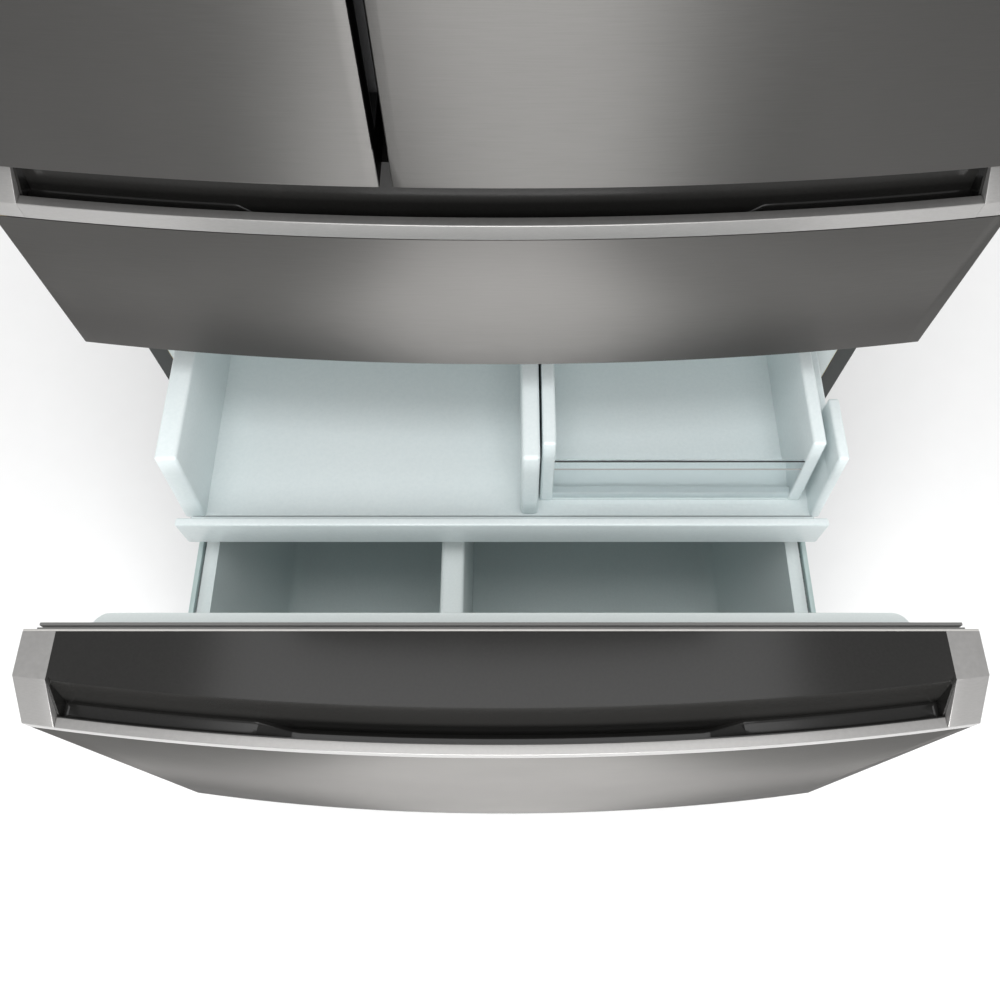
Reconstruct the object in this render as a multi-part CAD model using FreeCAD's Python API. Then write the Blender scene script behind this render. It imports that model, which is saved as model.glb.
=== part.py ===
"""French door refrigerator: a wide upper right door, a narrow upper left door,
a shallow middle drawer and a deep freezer drawer that stands open.

Millimetres. The origin is on the floor, centred in the width and at half the
depth of the case. The front faces -Y, +X is to the right and +Z is up.
"""
import FreeCAD, Part
import math
import os

V = FreeCAD.Vector

# ---------------------------------------------------------------- case
CASE_WIDTH = 904.0
CASE_DEPTH = 742.0
CASE_TOP = 1740.0
CASE_BOTTOM = 32.0
SIDE_WALL = 52.0
BACK_WALL = 60.0
TOP_WALL = 50.0
FLOOR_WALL = 52.0
RAIL_HEIGHT = 50.0
BASE_HEIGHT = 46.0
SHEET = 1.2
LINER = 2.5
FLANGE = 22.0
BAY_DEPTH = 230.0
BAY_HEIGHT = 229.0

# ---------------------------------------------------------------- doors and drawer fronts
FRONT_OVERHANG = 2.0
FRONT_THICK = 82.0
BOW = 29.4
GASKET_DEPTH = 8.0
GASKET_WIDTH = 20.0
GASKET_INSET = 11.5
SEAM_INSET = 3.0
FREEZER_BOTTOM = 60.0
FREEZER_HEIGHT = 563.0
DRAWER_GAP = 13.0
MIDDLE_HEIGHT = 247.0
DOOR_GAP = 8.0
DOOR_RISE = 15.0
SEAM_AT = -93.0
SEAM = 10.5
PLUG_INSET = 66.0
DRAWER_PLUG_INSET = 50.0
PLUG_DEPTH = 24.5
PLUG_CORNER = 18.0
PLUG_SHOULDER = 12.5

# ---------------------------------------------------------------- drawer handles
CAP_WIDTH = 31.5
BEVEL_DEPTH = 36.6
BEVEL_DROP = 35.0
RIM_HEIGHT = 17.0
RIM_DEPTH = 10.0
SEAM_LINE = 1.5
POCKET_WALL = 2.5
POCKET_DROP = 46.0
POCKET_DEEP = 62.0
POCKET_DEEP_HALF = 200.0
POCKET_SLANT = 34.0
POCKET_LEAN = 0.23

# ---------------------------------------------------------------- travel and clearances
FREEZER_OPEN = 401.0
CLEAR = 0.3
RUN = 0.05
PIN = 4.0

# ---------------------------------------------------------------- upper tray and ice bin
TRAY_SIDE_GAP = 22.0
TRAY_TOP_GAP = 17.5
TRAY_HEIGHT = 117.0
TRAY_SETBACK = 158.5
TRAY_LENGTH = 330.0
TRAY_RAKE = 18.0
TRAY_WALL_LEFT = 25.0
TRAY_WALL_RIGHT = 12.0
TRAY_FLOOR = 3.5
TRAY_STEP = 95.0
TRAY_STEP_DROP = 36.0
LIP_INSET = 8.0
LIP_REACH = 32.0
LIP_DEPTH = 10.0
LIP_HEIGHT = 51.0
SPLIT_LEFT = 22.0
SPLIT_WALL = 20.0
BIN_GAP = 21.0
BIN_WALL = 15.0
WINDOW = 3.0
WINDOW_HEIGHT = 79.0

# ---------------------------------------------------------------- drawer baskets
BASKET_SIDE_GAP = 30.0
BASKET_DROP = 34.0
BASKET_LIFT = 52.0
BASKET_REAR_GAP = 31.5
BASKET_WALL = 4.0
BASKET_TAPER = 26.0
DIVIDER_AT = -60.0
DIVIDER = 28.0
MIDDLE_SIDE_GAP = 40.0
MIDDLE_BASKET_LENGTH = 520.0

# ---------------------------------------------------------------- worked out from the values above
HALF = CASE_WIDTH / 2
FRONT_HALF = HALF + FRONT_OVERHANG
CASE_FRONT = -CASE_DEPTH / 2
CASE_BACK = CASE_DEPTH / 2
DOOR_BACK = CASE_FRONT - GASKET_DEPTH
FRONT_END = DOOR_BACK - FRONT_THICK
BOW_RADIUS = (FRONT_HALF ** 2 + BOW ** 2) / (2 * BOW)
BOW_AXIS = FRONT_END + math.sqrt(BOW_RADIUS ** 2 - FRONT_HALF ** 2)
FREEZER_TOP = FREEZER_BOTTOM + FREEZER_HEIGHT
MIDDLE_BOTTOM = FREEZER_TOP + DRAWER_GAP
MIDDLE_TOP = MIDDLE_BOTTOM + MIDDLE_HEIGHT
DOOR_BOTTOM = MIDDLE_TOP + DOOR_GAP
DOOR_TOP = CASE_TOP + DOOR_RISE
LOWER_RAIL = FREEZER_TOP + DRAWER_GAP / 2
UPPER_RAIL = MIDDLE_TOP + DOOR_GAP / 2
CAVITY_HALF = HALF - SIDE_WALL
CAVITY_BACK = CASE_BACK - BACK_WALL
FREEZER_CAVITY = (BASE_HEIGHT + FLOOR_WALL, LOWER_RAIL - RAIL_HEIGHT / 2)
MIDDLE_CAVITY = (LOWER_RAIL + RAIL_HEIGHT / 2, UPPER_RAIL - RAIL_HEIGHT / 2)
FRESH_CAVITY = (UPPER_RAIL + RAIL_HEIGHT / 2, CASE_TOP - TOP_WALL)
BAY_TOP = BASE_HEIGHT + BAY_HEIGHT
STEP_FRONT = CASE_BACK - BAY_DEPTH - FLOOR_WALL
STEP_TOP = BAY_TOP + FLOOR_WALL
SKIN_BACK = DOOR_BACK - LINER
DOOR_SPANS = {"left": (-FRONT_HALF, SEAM_AT - SEAM / 2), "right": (SEAM_AT + SEAM / 2, FRONT_HALF)}
CAP_EDGE = FRONT_HALF - CAP_WIDTH
HINGE_X = FRONT_HALF - 9.0
HINGE_Y = DOOR_BACK - 36.0
SLIDE = V(0, -FREEZER_OPEN, 0)
PLUG_BACK = DOOR_BACK + PLUG_DEPTH
POCKET_SHALLOW_REAR = BEVEL_DEPTH - POCKET_LEAN * POCKET_DROP
POCKET_DEEP_REAR = BEVEL_DEPTH - POCKET_LEAN * POCKET_DEEP
TRAY_HALF = CAVITY_HALF - TRAY_SIDE_GAP
TRAY_TOP = FREEZER_CAVITY[1] - TRAY_TOP_GAP
TRAY_BOTTOM = TRAY_TOP - TRAY_HEIGHT
TRAY_FRONT = PLUG_BACK - FREEZER_OPEN + TRAY_SETBACK
LIP_HALF = TRAY_HALF - LIP_INSET
LIP_TOP = TRAY_BOTTOM + LIP_HEIGHT
BIN_RIGHT = TRAY_HALF - BIN_GAP
WINDOW_TOP = TRAY_BOTTOM + WINDOW_HEIGHT
BASKET_HALF = CAVITY_HALF - BASKET_SIDE_GAP
BASKET_RIM = TRAY_BOTTOM - BASKET_DROP
BASKET_BOTTOM = FREEZER_CAVITY[0] + BASKET_LIFT
MIDDLE_BASKET_HALF = CAVITY_HALF - MIDDLE_SIDE_GAP


# ---------------------------------------------------------------- plain helpers
def box(x0, x1, y0, y1, z0, z1):
    return Part.makeBox(x1 - x0, y1 - y0, z1 - z0, V(x0, y0, z0))


def rod(start, end, radius):
    along = end - start
    return Part.makeCylinder(radius, along.Length, start, along)


def fused(*shapes):
    return shapes[0].multiFuse(list(shapes[1:])).removeSplitter()


def outline(points):
    return Part.Face(Part.makePolygon(list(points) + [points[0]]))


def along_x(points, x0, x1):
    """A Y-Z outline drawn out from x0 to x1."""
    return outline([V(x0, y, z) for y, z in points]).extrude(V(x1 - x0, 0, 0))


def along_y(points, y0, y1):
    """An X-Z outline drawn out from y0 to y1."""
    return outline([V(x, y0, z) for x, z in points]).extrude(V(0, y1 - y0, 0))


def upright_edges(shape):
    found = []
    for edge in shape.Edges:
        run = edge.BoundBox
        if run.XLength < 0.01 and run.YLength < 0.01:
            found.append(edge)
    return found


def rounded_box(x0, x1, y0, y1, z0, z1, radius, rear_only=False):
    block = box(x0, x1, y0, y1, z0, z1)
    edges = upright_edges(block)
    if rear_only:
        edges = [edge for edge in edges if edge.BoundBox.YMax > y1 - 0.01]
    return block.makeFillet(radius, edges)


def bowed(points, x0, x1, back=DOOR_BACK):
    """Turns a (depth, height) outline about the bow axis and trims it to
    x0..x1 and to the plane y = back. Depth runs back from the bowed face."""
    turn = math.degrees(math.asin(1.1 * FRONT_HALF / BOW_RADIUS))
    face = outline([V(0, BOW_AXIS - BOW_RADIUS + depth, z) for depth, z in points])
    face.rotate(V(0, BOW_AXIS, 0), V(0, 0, 1), -turn)
    ring = face.revolve(V(0, BOW_AXIS, 0), V(0, 0, 1), 2 * turn)
    heights = [z for depth, z in points]
    keep = box(x0, x1, -2 * CASE_DEPTH, back, min(heights) - 1, max(heights) + 1)
    return ring.common(keep)


def slab(depth, z0, z1, x0, x1, back=SKIN_BACK):
    """All that lies behind the bowed face at that depth, up to y = back."""
    rear = FRONT_THICK + 2 * BOW
    return bowed([(depth, z0), (depth, z1), (rear, z1), (rear, z0)], x0, x1, back)


def save(name, *shapes, shift=None):
    solids = [solid.copy() for shape in shapes for solid in shape.Solids]
    if shift is not None:
        for solid in solids:
            solid.translate(shift)
    shape = solids[0] if len(solids) == 1 else Part.makeCompound(solids)
    if not shape.isValid() or shape.Volume <= 0:
        print("CHECK SHAPE", name)
    shape.exportStep(os.path.join("parts", name + ".step"))


os.makedirs("parts", exist_ok=True)


# ---------------------------------------------------------------- open tubs made of flat plates
def tub(x0, x1, y0, y1, z0, z1, wall, taper=0.0):
    """Left, right, bottom, front and rear plates that meet face to face. The
    two sides lean out by the taper from bottom to top."""
    def lean(z):
        return taper * (z - z0) / (z1 - z0)

    foot = z0 + wall
    left = along_y([(x0, z1), (x0 + wall, z1), (x0 + taper + wall, z0), (x0 + taper, z0)], y0, y1)
    right = along_y([(x1, z1), (x1 - wall, z1), (x1 - taper - wall, z0), (x1 - taper, z0)], y0, y1)

    def across(low, high, front, rear):
        a = x0 + wall + taper
        b = x1 - wall - taper
        corners = [(a - lean(low), low), (b + lean(low), low)]
        corners += [(b + lean(high), high), (a - lean(high), high)]
        return along_y(corners, front, rear)

    floor = across(z0, foot, y0, y1)
    front = across(foot, z1, y0, y0 + wall)
    rear = across(foot, z1, y1 - wall, y1)
    return [left, right, floor, front, rear]


def rim(x0, x1, y0, y1, z0, z1, width, side_width):
    """Four flat strips round the top of a tub, inside the outline x0..x1, y0..y1."""
    return [
        box(x0, x0 + side_width, y0, y1, z0, z1),
        box(x1 - side_width, x1, y0, y1, z0, z1),
        box(x0 + side_width, x1 - side_width, y0, y0 + width, z0, z1),
        box(x0 + side_width, x1 - side_width, y1 - width, y1, z0, z1),
    ]


# ---------------------------------------------------------------- case
MOUTH = CASE_FRONT + SHEET
THROAT = MOUTH + 25.0
FLANGE_EDGE = HALF - FLANGE
INSIDE = HALF - SHEET
LINER_HALF = CAVITY_HALF + LINER
LINER_BACK = CAVITY_BACK + LINER
BAY_FRONT = CASE_BACK - BAY_DEPTH
BASE_SHEET = 2.0
PANEL_FRONT = CASE_BACK - SHEET


def case_wrapper():
    sides = [box(-HALF, -INSIDE, CASE_FRONT, CASE_BACK, CASE_BOTTOM, CASE_TOP)]
    sides.append(box(INSIDE, HALF, CASE_FRONT, CASE_BACK, CASE_BOTTOM, CASE_TOP))
    top = box(-INSIDE, INSIDE, CASE_FRONT, CASE_BACK, CASE_TOP - SHEET, CASE_TOP)
    save("case_wrapper", *sides, top, *front_flange())


def front_flange():
    """Steel face of the case that the door gaskets close on."""
    strips = [box(-INSIDE, -FLANGE_EDGE, CASE_FRONT, MOUTH, BASE_HEIGHT, CASE_TOP - SHEET)]
    strips.append(box(FLANGE_EDGE, INSIDE, CASE_FRONT, MOUTH, BASE_HEIGHT, CASE_TOP - SHEET))
    bands = [
        (BASE_HEIGHT, FREEZER_CAVITY[0] - LINER),
        (FREEZER_CAVITY[1] + LINER, MIDDLE_CAVITY[0] - LINER),
        (MIDDLE_CAVITY[1] + LINER, FRESH_CAVITY[0] - LINER),
        (FRESH_CAVITY[1] + LINER, CASE_TOP - SHEET),
    ]
    for low, high in bands:
        strips.append(box(-FLANGE_EDGE, FLANGE_EDGE, CASE_FRONT, MOUTH, low, high))
    return strips


def funnel_plate(z0, z1, back, half=LINER_HALF):
    """Flat plate that widens from the cavity to the flange at the mouth."""
    corners = [(-FLANGE_EDGE, MOUTH), (FLANGE_EDGE, MOUTH), (half, THROAT)]
    corners += [(half, back), (-half, back), (-half, THROAT)]
    return outline([V(x, y, z0) for x, y in corners]).extrude(V(0, 0, z1 - z0))


def liner_plates(z0, z1, stepped):
    plates = []
    floor_back = STEP_FRONT if stepped else CAVITY_BACK
    for side in (-1, 1):
        cheek = [(side * FLANGE_EDGE, MOUTH), (side * LINER_HALF, THROAT)]
        cheek += [(side * CAVITY_HALF, THROAT), (side * (FLANGE_EDGE - LINER), MOUTH)]
        plates.append(outline([V(x, y, z0) for x, y in cheek]).extrude(V(0, 0, z1 - z0)))
        near = min(side * CAVITY_HALF, side * LINER_HALF)
        plates.append(box(near, near + LINER, THROAT, floor_back, z0, z1))
        if stepped:
            plates.append(box(near, near + LINER, STEP_FRONT, CAVITY_BACK, STEP_TOP, z1))
    plates.append(funnel_plate(z0 - LINER, z0, floor_back))
    plates.append(funnel_plate(z1, z1 + LINER, CAVITY_BACK))
    back_foot = z0 - LINER
    if stepped:
        back_foot = STEP_TOP - LINER
        plates.append(box(-LINER_HALF, LINER_HALF, STEP_FRONT, STEP_FRONT + LINER, z0 - LINER, back_foot))
        plates.append(box(-LINER_HALF, LINER_HALF, STEP_FRONT, CAVITY_BACK, back_foot, STEP_TOP))
    plates.append(box(-LINER_HALF, LINER_HALF, CAVITY_BACK, LINER_BACK, back_foot, z1 + LINER))
    return plates


def insulation():
    """Foam between the steel case and the plastic liners."""
    blocks = []
    for side in (-1, 1):
        wedge = [(side * FLANGE_EDGE, MOUTH), (side * INSIDE, MOUTH)]
        wedge.append((side * INSIDE, BAY_FRONT - BASE_SHEET))
        wedge += [(side * LINER_HALF, BAY_FRONT - BASE_SHEET), (side * LINER_HALF, THROAT)]
        foot = outline([V(x, y, BASE_HEIGHT) for x, y in wedge])
        blocks.append(foot.extrude(V(0, 0, CASE_TOP - SHEET - BASE_HEIGHT)))
        near = min(side * LINER_HALF, side * INSIDE)
        width = INSIDE - LINER_HALF
        low = BAY_TOP + BASE_SHEET
        blocks.append(box(near, near + width, BAY_FRONT - BASE_SHEET, LINER_BACK, low, CASE_TOP - SHEET))
    blocks.append(funnel_plate(FREEZER_CAVITY[1] + LINER, MIDDLE_CAVITY[0] - LINER, LINER_BACK))
    blocks.append(funnel_plate(MIDDLE_CAVITY[1] + LINER, FRESH_CAVITY[0] - LINER, LINER_BACK))
    blocks.append(funnel_plate(FRESH_CAVITY[1] + LINER, CASE_TOP - SHEET, LINER_BACK))
    blocks.append(funnel_plate(BASE_HEIGHT, FREEZER_CAVITY[0] - LINER, STEP_FRONT + LINER))
    riser_back = BAY_FRONT - BASE_SHEET
    wall = STEP_FRONT + LINER
    roof = BAY_TOP + BASE_SHEET
    blocks.append(box(-LINER_HALF, LINER_HALF, wall, riser_back, BASE_HEIGHT, roof))
    blocks.append(box(-LINER_HALF, LINER_HALF, wall, LINER_BACK, roof, STEP_TOP - LINER))
    blocks.append(box(-INSIDE, INSIDE, LINER_BACK, PANEL_FRONT, roof, CASE_TOP - SHEET))
    save("insulation", *blocks)


# ---------------------------------------------------------------- base, feet and rear compartment
ROLLER_X = HALF - 72.0
ROLLER_Y = CASE_BACK - 71.0
ROLLER_RADIUS = 21.0
ROLLER_WIDTH = 18.0
LEG_Y = CASE_FRONT + 71.0
LEG_FOOT = 20.0
LEG_STEM = 6.0
VENT_PITCH = 16.0
VENT_SLOT = 6.0
INLET_X = HALF - 122.0
INLET_Z = 150.0
INLET_RADIUS = 5.5
INLET_NECK = 9.0
INLET_LENGTH = 14.0
GLAND_X = -INLET_X
GLAND_RADIUS = 9.0


def cabinet_base():
    pan = box(-INSIDE, INSIDE, CASE_FRONT + 10, PANEL_FRONT, BASE_HEIGHT - BASE_SHEET, BASE_HEIGHT)
    bulkhead = box(-INSIDE, INSIDE, BAY_FRONT - BASE_SHEET, BAY_FRONT, BASE_HEIGHT, BAY_TOP)
    roof = box(-INSIDE, INSIDE, BAY_FRONT - BASE_SHEET, PANEL_FRONT, BAY_TOP, BAY_TOP + BASE_SHEET)
    pieces = [pan, bulkhead, roof]
    for side in (-1, 1):
        inner = side * ROLLER_X - ROLLER_WIDTH / 2 - CLEAR
        outer = side * ROLLER_X + ROLLER_WIDTH / 2 + CLEAR
        for x in (inner - BASE_SHEET, outer):
            foot = ROLLER_RADIUS - 9
            end = BASE_HEIGHT - BASE_SHEET
            pieces.append(box(x, x + BASE_SHEET, ROLLER_Y - 14, ROLLER_Y + 14, foot, end))
        pieces.append(rod(V(inner, ROLLER_Y, ROLLER_RADIUS), V(outer, ROLLER_Y, ROLLER_RADIUS), PIN))
    save("cabinet_base", *pieces)


def rear_rollers():
    wheels = []
    for side in (-1, 1):
        start = V(side * ROLLER_X - ROLLER_WIDTH / 2, ROLLER_Y, ROLLER_RADIUS)
        end = start + V(ROLLER_WIDTH, 0, 0)
        wheels.append(rod(start, end, ROLLER_RADIUS).cut(rod(start, end, PIN + RUN)))
    save("rear_rollers", *wheels)


def leveling_legs():
    legs = []
    for side in (-1, 1):
        spot = V(side * ROLLER_X, LEG_Y, 0)
        foot = rod(spot, spot + V(0, 0, 8), LEG_FOOT)
        stem = rod(spot + V(0, 0, 8), spot + V(0, 0, BASE_HEIGHT - BASE_SHEET), LEG_STEM)
        legs.append(fused(foot, stem))
    save("leveling_legs", *legs)


def slotted(panel, x0, x1, z0, z1, y0, y1):
    """Cuts a row of upright vent slots between x0 and x1."""
    count = int((x1 - x0) // VENT_PITCH)
    start = (x0 + x1 - (count - 1) * VENT_PITCH) / 2
    slots = []
    for number in range(count):
        x = start + number * VENT_PITCH
        slots.append(box(x - VENT_SLOT / 2, x + VENT_SLOT / 2, y0 - 1, y1 + 1, z0, z1))
    return panel.cut(slots)


def toe_grille():
    y0 = CASE_FRONT + 6
    y1 = CASE_FRONT + 10
    panel = box(-INSIDE + 12, INSIDE - 12, y0, y1, 12, BASE_HEIGHT)
    save("toe_grille", slotted(panel, -FLANGE_EDGE + 20, FLANGE_EDGE - 20, 18, BASE_HEIGHT - 6, y0, y1))


def rear_panels():
    z1 = CASE_TOP - SHEET
    upper = box(-INSIDE, INSIDE, PANEL_FRONT, CASE_BACK, BAY_TOP, z1)
    cover = box(-INSIDE, INSIDE, PANEL_FRONT, CASE_BACK, BASE_HEIGHT, BAY_TOP)
    gland = rod(V(GLAND_X, PANEL_FRONT - 1, INLET_Z), V(GLAND_X, CASE_BACK + 1, INLET_Z), GLAND_RADIUS)
    inlet = rod(V(INLET_X, PANEL_FRONT - 1, INLET_Z), V(INLET_X, CASE_BACK + 1, INLET_Z), INLET_NECK)
    cover = slotted(cover, -240, 240, 80, 240, PANEL_FRONT, CASE_BACK).cut([gland, inlet])
    save("back_panels", upper, cover)


def cord_gland():
    """Grommet where the mains cord enters the rear compartment."""
    body = rod(V(GLAND_X, PANEL_FRONT - 8, INLET_Z), V(GLAND_X, CASE_BACK, INLET_Z), GLAND_RADIUS)
    collar = rod(V(GLAND_X, CASE_BACK, INLET_Z), V(GLAND_X, CASE_BACK + 5, INLET_Z), GLAND_RADIUS + 4)
    hole = rod(V(GLAND_X, PANEL_FRONT - 9, INLET_Z), V(GLAND_X, CASE_BACK + 6, INLET_Z), 4)
    save("cord_gland", fused(body, collar).cut(hole))


def water_valve():
    """Solenoid valve for the ice maker's water, with its pipe stub through the cover."""
    block = box(INLET_X - 22, INLET_X + 22, PANEL_FRONT - 60, PANEL_FRONT - 20, INLET_Z - 18, INLET_Z + 18)
    neck = rod(V(INLET_X, PANEL_FRONT - 20, INLET_Z), V(INLET_X, CASE_BACK + 4, INLET_Z), INLET_NECK)
    tip = CASE_BACK + 4 + INLET_LENGTH
    stub = rod(V(INLET_X, CASE_BACK + 4, INLET_Z), V(INLET_X, tip, INLET_Z), INLET_RADIUS)
    coil = rod(V(INLET_X, PANEL_FRONT - 40, INLET_Z + 18), V(INLET_X, PANEL_FRONT - 40, INLET_Z + 52), 14)
    post = box(INLET_X - 12, INLET_X + 12, PANEL_FRONT - 52, PANEL_FRONT - 46, BASE_HEIGHT, INLET_Z - 18)
    save("water_valve", fused(block, neck, stub, coil, post))


COMPRESSOR_X = -230.0
COMPRESSOR_RADIUS = 78.0
COMPRESSOR_HEIGHT = 170.0
BAY_MIDDLE = BAY_FRONT + BAY_DEPTH / 2 - 4
COIL_X = 170.0
COIL_LENGTH = 150.0
FAN_X = 40.0
FAN_RADIUS = 70.0
FAN_Z = BASE_HEIGHT + 100.0


def compressor():
    foot = BASE_HEIGHT + 18
    seat = V(COMPRESSOR_X, BAY_MIDDLE, foot)
    shell = rod(seat, seat + V(0, 0, COMPRESSOR_HEIGHT), COMPRESSOR_RADIUS)
    shell = shell.makeFillet(24, [edge for edge in shell.Edges if edge.Length > 300])
    room = seat + V(0, 0, 10)
    shell = shell.cut(rod(room, room + V(0, 0, COMPRESSOR_HEIGHT - 20), COMPRESSOR_RADIUS - 12))
    plate = box(COMPRESSOR_X - 95, COMPRESSOR_X + 95, BAY_MIDDLE - 60, BAY_MIDDLE + 60, foot - 4, foot + 2)
    pieces = [shell, plate]
    for side in (-1, 1):
        for end in (-1, 1):
            spot = V(COMPRESSOR_X + side * 80, BAY_MIDDLE + end * 45, BASE_HEIGHT)
            pieces.append(rod(spot, spot + V(0, 0, foot - 2 - BASE_HEIGHT), 11))
    save("compressor", fused(*pieces))


def condenser():
    """Stack of fins on a frame, with the fan ring at its inner end."""
    y0 = BAY_MIDDLE - 80
    y1 = BAY_MIDDLE + 80
    z0 = BASE_HEIGHT
    z1 = FAN_Z + FAN_RADIUS + 14
    fins = []
    count = 12
    for number in range(count):
        x = COIL_X - COIL_LENGTH / 2 + number * COIL_LENGTH / (count - 1)
        fins.append(box(x - 1, x + 1, y0 + 10, y1 - 10, z0 + 6, z1 - 10))
    runs = []
    near = COIL_X - COIL_LENGTH / 2 - 1
    far = COIL_X + COIL_LENGTH / 2 + 1
    for level in (z0 + 30, z0 + 75, z0 + 120):
        runs.append(rod(V(near, BAY_MIDDLE, level), V(far, BAY_MIDDLE, level), 6))
    foot = box(near, far, y0 + 10, y1 - 10, z0, z0 + 6)
    ring = box(FAN_X - 12, FAN_X + 12, y0, y1, z0, z1)
    ring = ring.cut(rod(V(FAN_X - 13, BAY_MIDDLE, FAN_Z), V(FAN_X + 13, BAY_MIDDLE, FAN_Z), FAN_RADIUS + 4))
    arm = box(FAN_X - 12, FAN_X - 8, y0, y1, FAN_Z - 7, FAN_Z + 7)
    motor = rod(V(FAN_X - 38, BAY_MIDDLE, FAN_Z), V(FAN_X - 8, BAY_MIDDLE, FAN_Z), 22)
    shaft = rod(V(FAN_X - 8, BAY_MIDDLE, FAN_Z), V(FAN_X + 10, BAY_MIDDLE, FAN_Z), 3)
    save("condenser", fused(foot, *fins, *runs), fused(ring, arm, motor, shaft))


def fan_blades(center, along, radius, width):
    """Five pitched blades on a hub, bored for the motor shaft."""
    start = center - along * (width / 2)
    end = center + along * (width / 2)
    hub = rod(start, end, radius * 0.28)
    across = V(0, 0, 1)
    blades = []
    for number in range(5):
        blade = Part.makeBox(width * 0.9, 2, radius * 0.8, V(-width * 0.45, -1, radius * 0.2))
        blade.rotate(V(0, 0, 0), V(0, 0, 1), 38)
        if abs(along.y) > 0.5:
            blade.rotate(V(0, 0, 0), V(0, 0, 1), 90)
        blade.rotate(V(0, 0, 0), along, 72 * number)
        blade.translate(center)
        blades.append(blade)
    keep = rod(start, end, radius)
    return fused(hub, *blades).common(keep).cut(rod(start - along, end + along, 3 + RUN))


def condenser_fan():
    save("condenser_fan", fan_blades(V(FAN_X + 1, BAY_MIDDLE, FAN_Z), V(1, 0, 0), FAN_RADIUS, 16.0))


# ---------------------------------------------------------------- hinges
HINGE_GAP = 2.0
ARM = 4.0
ARM_INNER = FRONT_HALF - 30.0
ARM_OUTER = HALF - 2.8
PIN_DEPTH = 14.0
COVER_TOP = CASE_TOP + 35.0
COVER_WALL = 2.5
COVER_INNER = HALF - 92.0


def door_hinges():
    """Upper brackets bolted to the case top and lower ones to the upper rail."""
    brackets = []
    arm_z = DOOR_TOP + HINGE_GAP
    low_z = MIDDLE_TOP + HINGE_GAP
    for side in (-1, 1):
        inner, outer = sorted((side * ARM_INNER, side * ARM_OUTER))
        wide, edge = sorted((side * (ARM_INNER - 35), side * ARM_OUTER))
        base = box(wide, edge, CASE_FRONT + 2, CASE_FRONT + 90, CASE_TOP, CASE_TOP + ARM)
        riser = box(inner, outer, CASE_FRONT + 2, CASE_FRONT + 6, CASE_TOP, arm_z + ARM)
        arm = box(inner, outer, HINGE_Y - 12, CASE_FRONT + 6, arm_z, arm_z + ARM)
        pin = rod(V(side * HINGE_X, HINGE_Y, DOOR_TOP - PIN_DEPTH), V(side * HINGE_X, HINGE_Y, arm_z), PIN)
        brackets.append(fused(base, riser, arm, pin))
        plate = box(inner, outer, HINGE_Y - 12, CASE_FRONT, low_z, low_z + ARM - 1)
        spot = V(side * HINGE_X, HINGE_Y, low_z)
        stub = rod(spot, V(spot.x, spot.y, DOOR_BOTTOM + PIN_DEPTH), PIN)
        brackets.append(fused(plate, stub))
    save("door_hinges", *brackets)


def hinge_covers():
    covers = []
    rear = CASE_FRONT + 110
    front = HINGE_Y - 18
    for side in (-1, 1):
        low, high = sorted((side * COVER_INNER, side * HALF))
        profile = [(front, DOOR_TOP + 1), (front, COVER_TOP - 8), (front + 8, COVER_TOP)]
        profile += [(rear - 20, COVER_TOP), (rear, CASE_TOP + 12), (rear, CASE_TOP)]
        profile += [(CASE_FRONT, CASE_TOP), (CASE_FRONT, DOOR_TOP + 1)]
        cover = along_x(profile, low, high)
        room = [(front + COVER_WALL, DOOR_TOP), (front + COVER_WALL, COVER_TOP - 10)]
        room += [(rear - 22, COVER_TOP - 3), (rear - COVER_WALL, CASE_TOP + 11)]
        room += [(rear - COVER_WALL, CASE_TOP - 1), (CASE_FRONT + 1, CASE_TOP - 1)]
        room.append((CASE_FRONT + 1, DOOR_TOP))
        wall = COVER_WALL
        covers.append(cover.cut(along_x(room, low + wall, high - wall)))
    save("hinge_covers", *covers)


# ---------------------------------------------------------------- fresh food interior
SHELF_FRONT = CASE_FRONT + 121.0
SHELF_BACK = CAVITY_BACK - 15.0
SHELF_HALF = CAVITY_HALF - 4.0
SHELF_FRAME = 14.0
SHELF_BAR = 16.0
SHELF_LEDGE = 8.0
GLASS = 4.0
CRISPER_SHELF = FRESH_CAVITY[0] + 183.0
SHELF_PITCH = (FRESH_CAVITY[1] - CRISPER_SHELF - 115.0) / 3
RIB = 8.0
SHELF_LEVELS = [CRISPER_SHELF + number * SHELF_PITCH for number in range(4)]


def fresh_food_liner():
    plates = liner_plates(*FRESH_CAVITY, stepped=False)
    for level in SHELF_LEVELS:
        foot = level - SHELF_FRAME
        for side in (-1, 1):
            x0, x1 = sorted((side * (CAVITY_HALF - 14), side * CAVITY_HALF))
            plates.append(box(x0, x1, SHELF_FRONT + 10, SHELF_BACK, foot - RIB, foot))
    save("fresh_food_liner", *plates)


def shelf_plate(inset, z0, z1):
    """Block with the outline of a shelf drawn in by the inset all round."""
    half = SHELF_HALF - inset
    return box(-half, half, SHELF_FRONT + inset, SHELF_BACK - inset, z0, z1)


def shelves():
    frames = []
    panes = []
    for level in SHELF_LEVELS:
        foot = level - SHELF_FRAME
        seat = shelf_plate(SHELF_LEDGE, level - GLASS, level + 1)
        gap = shelf_plate(SHELF_BAR, foot - 1, level)
        frames.append(shelf_plate(0, foot, level).cut([seat, gap]))
        panes.append(shelf_plate(SHELF_LEDGE, level - GLASS, level))
    save("shelf_frames", *frames)
    save("shelf_glass", *panes)


CRISPER_FRONT = SHELF_FRONT + 100.0
CRISPER_BACK = SHELF_BACK - 66.0
CRISPER_HEIGHT = 158.0
CRISPER_GAP = 5.0


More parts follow.
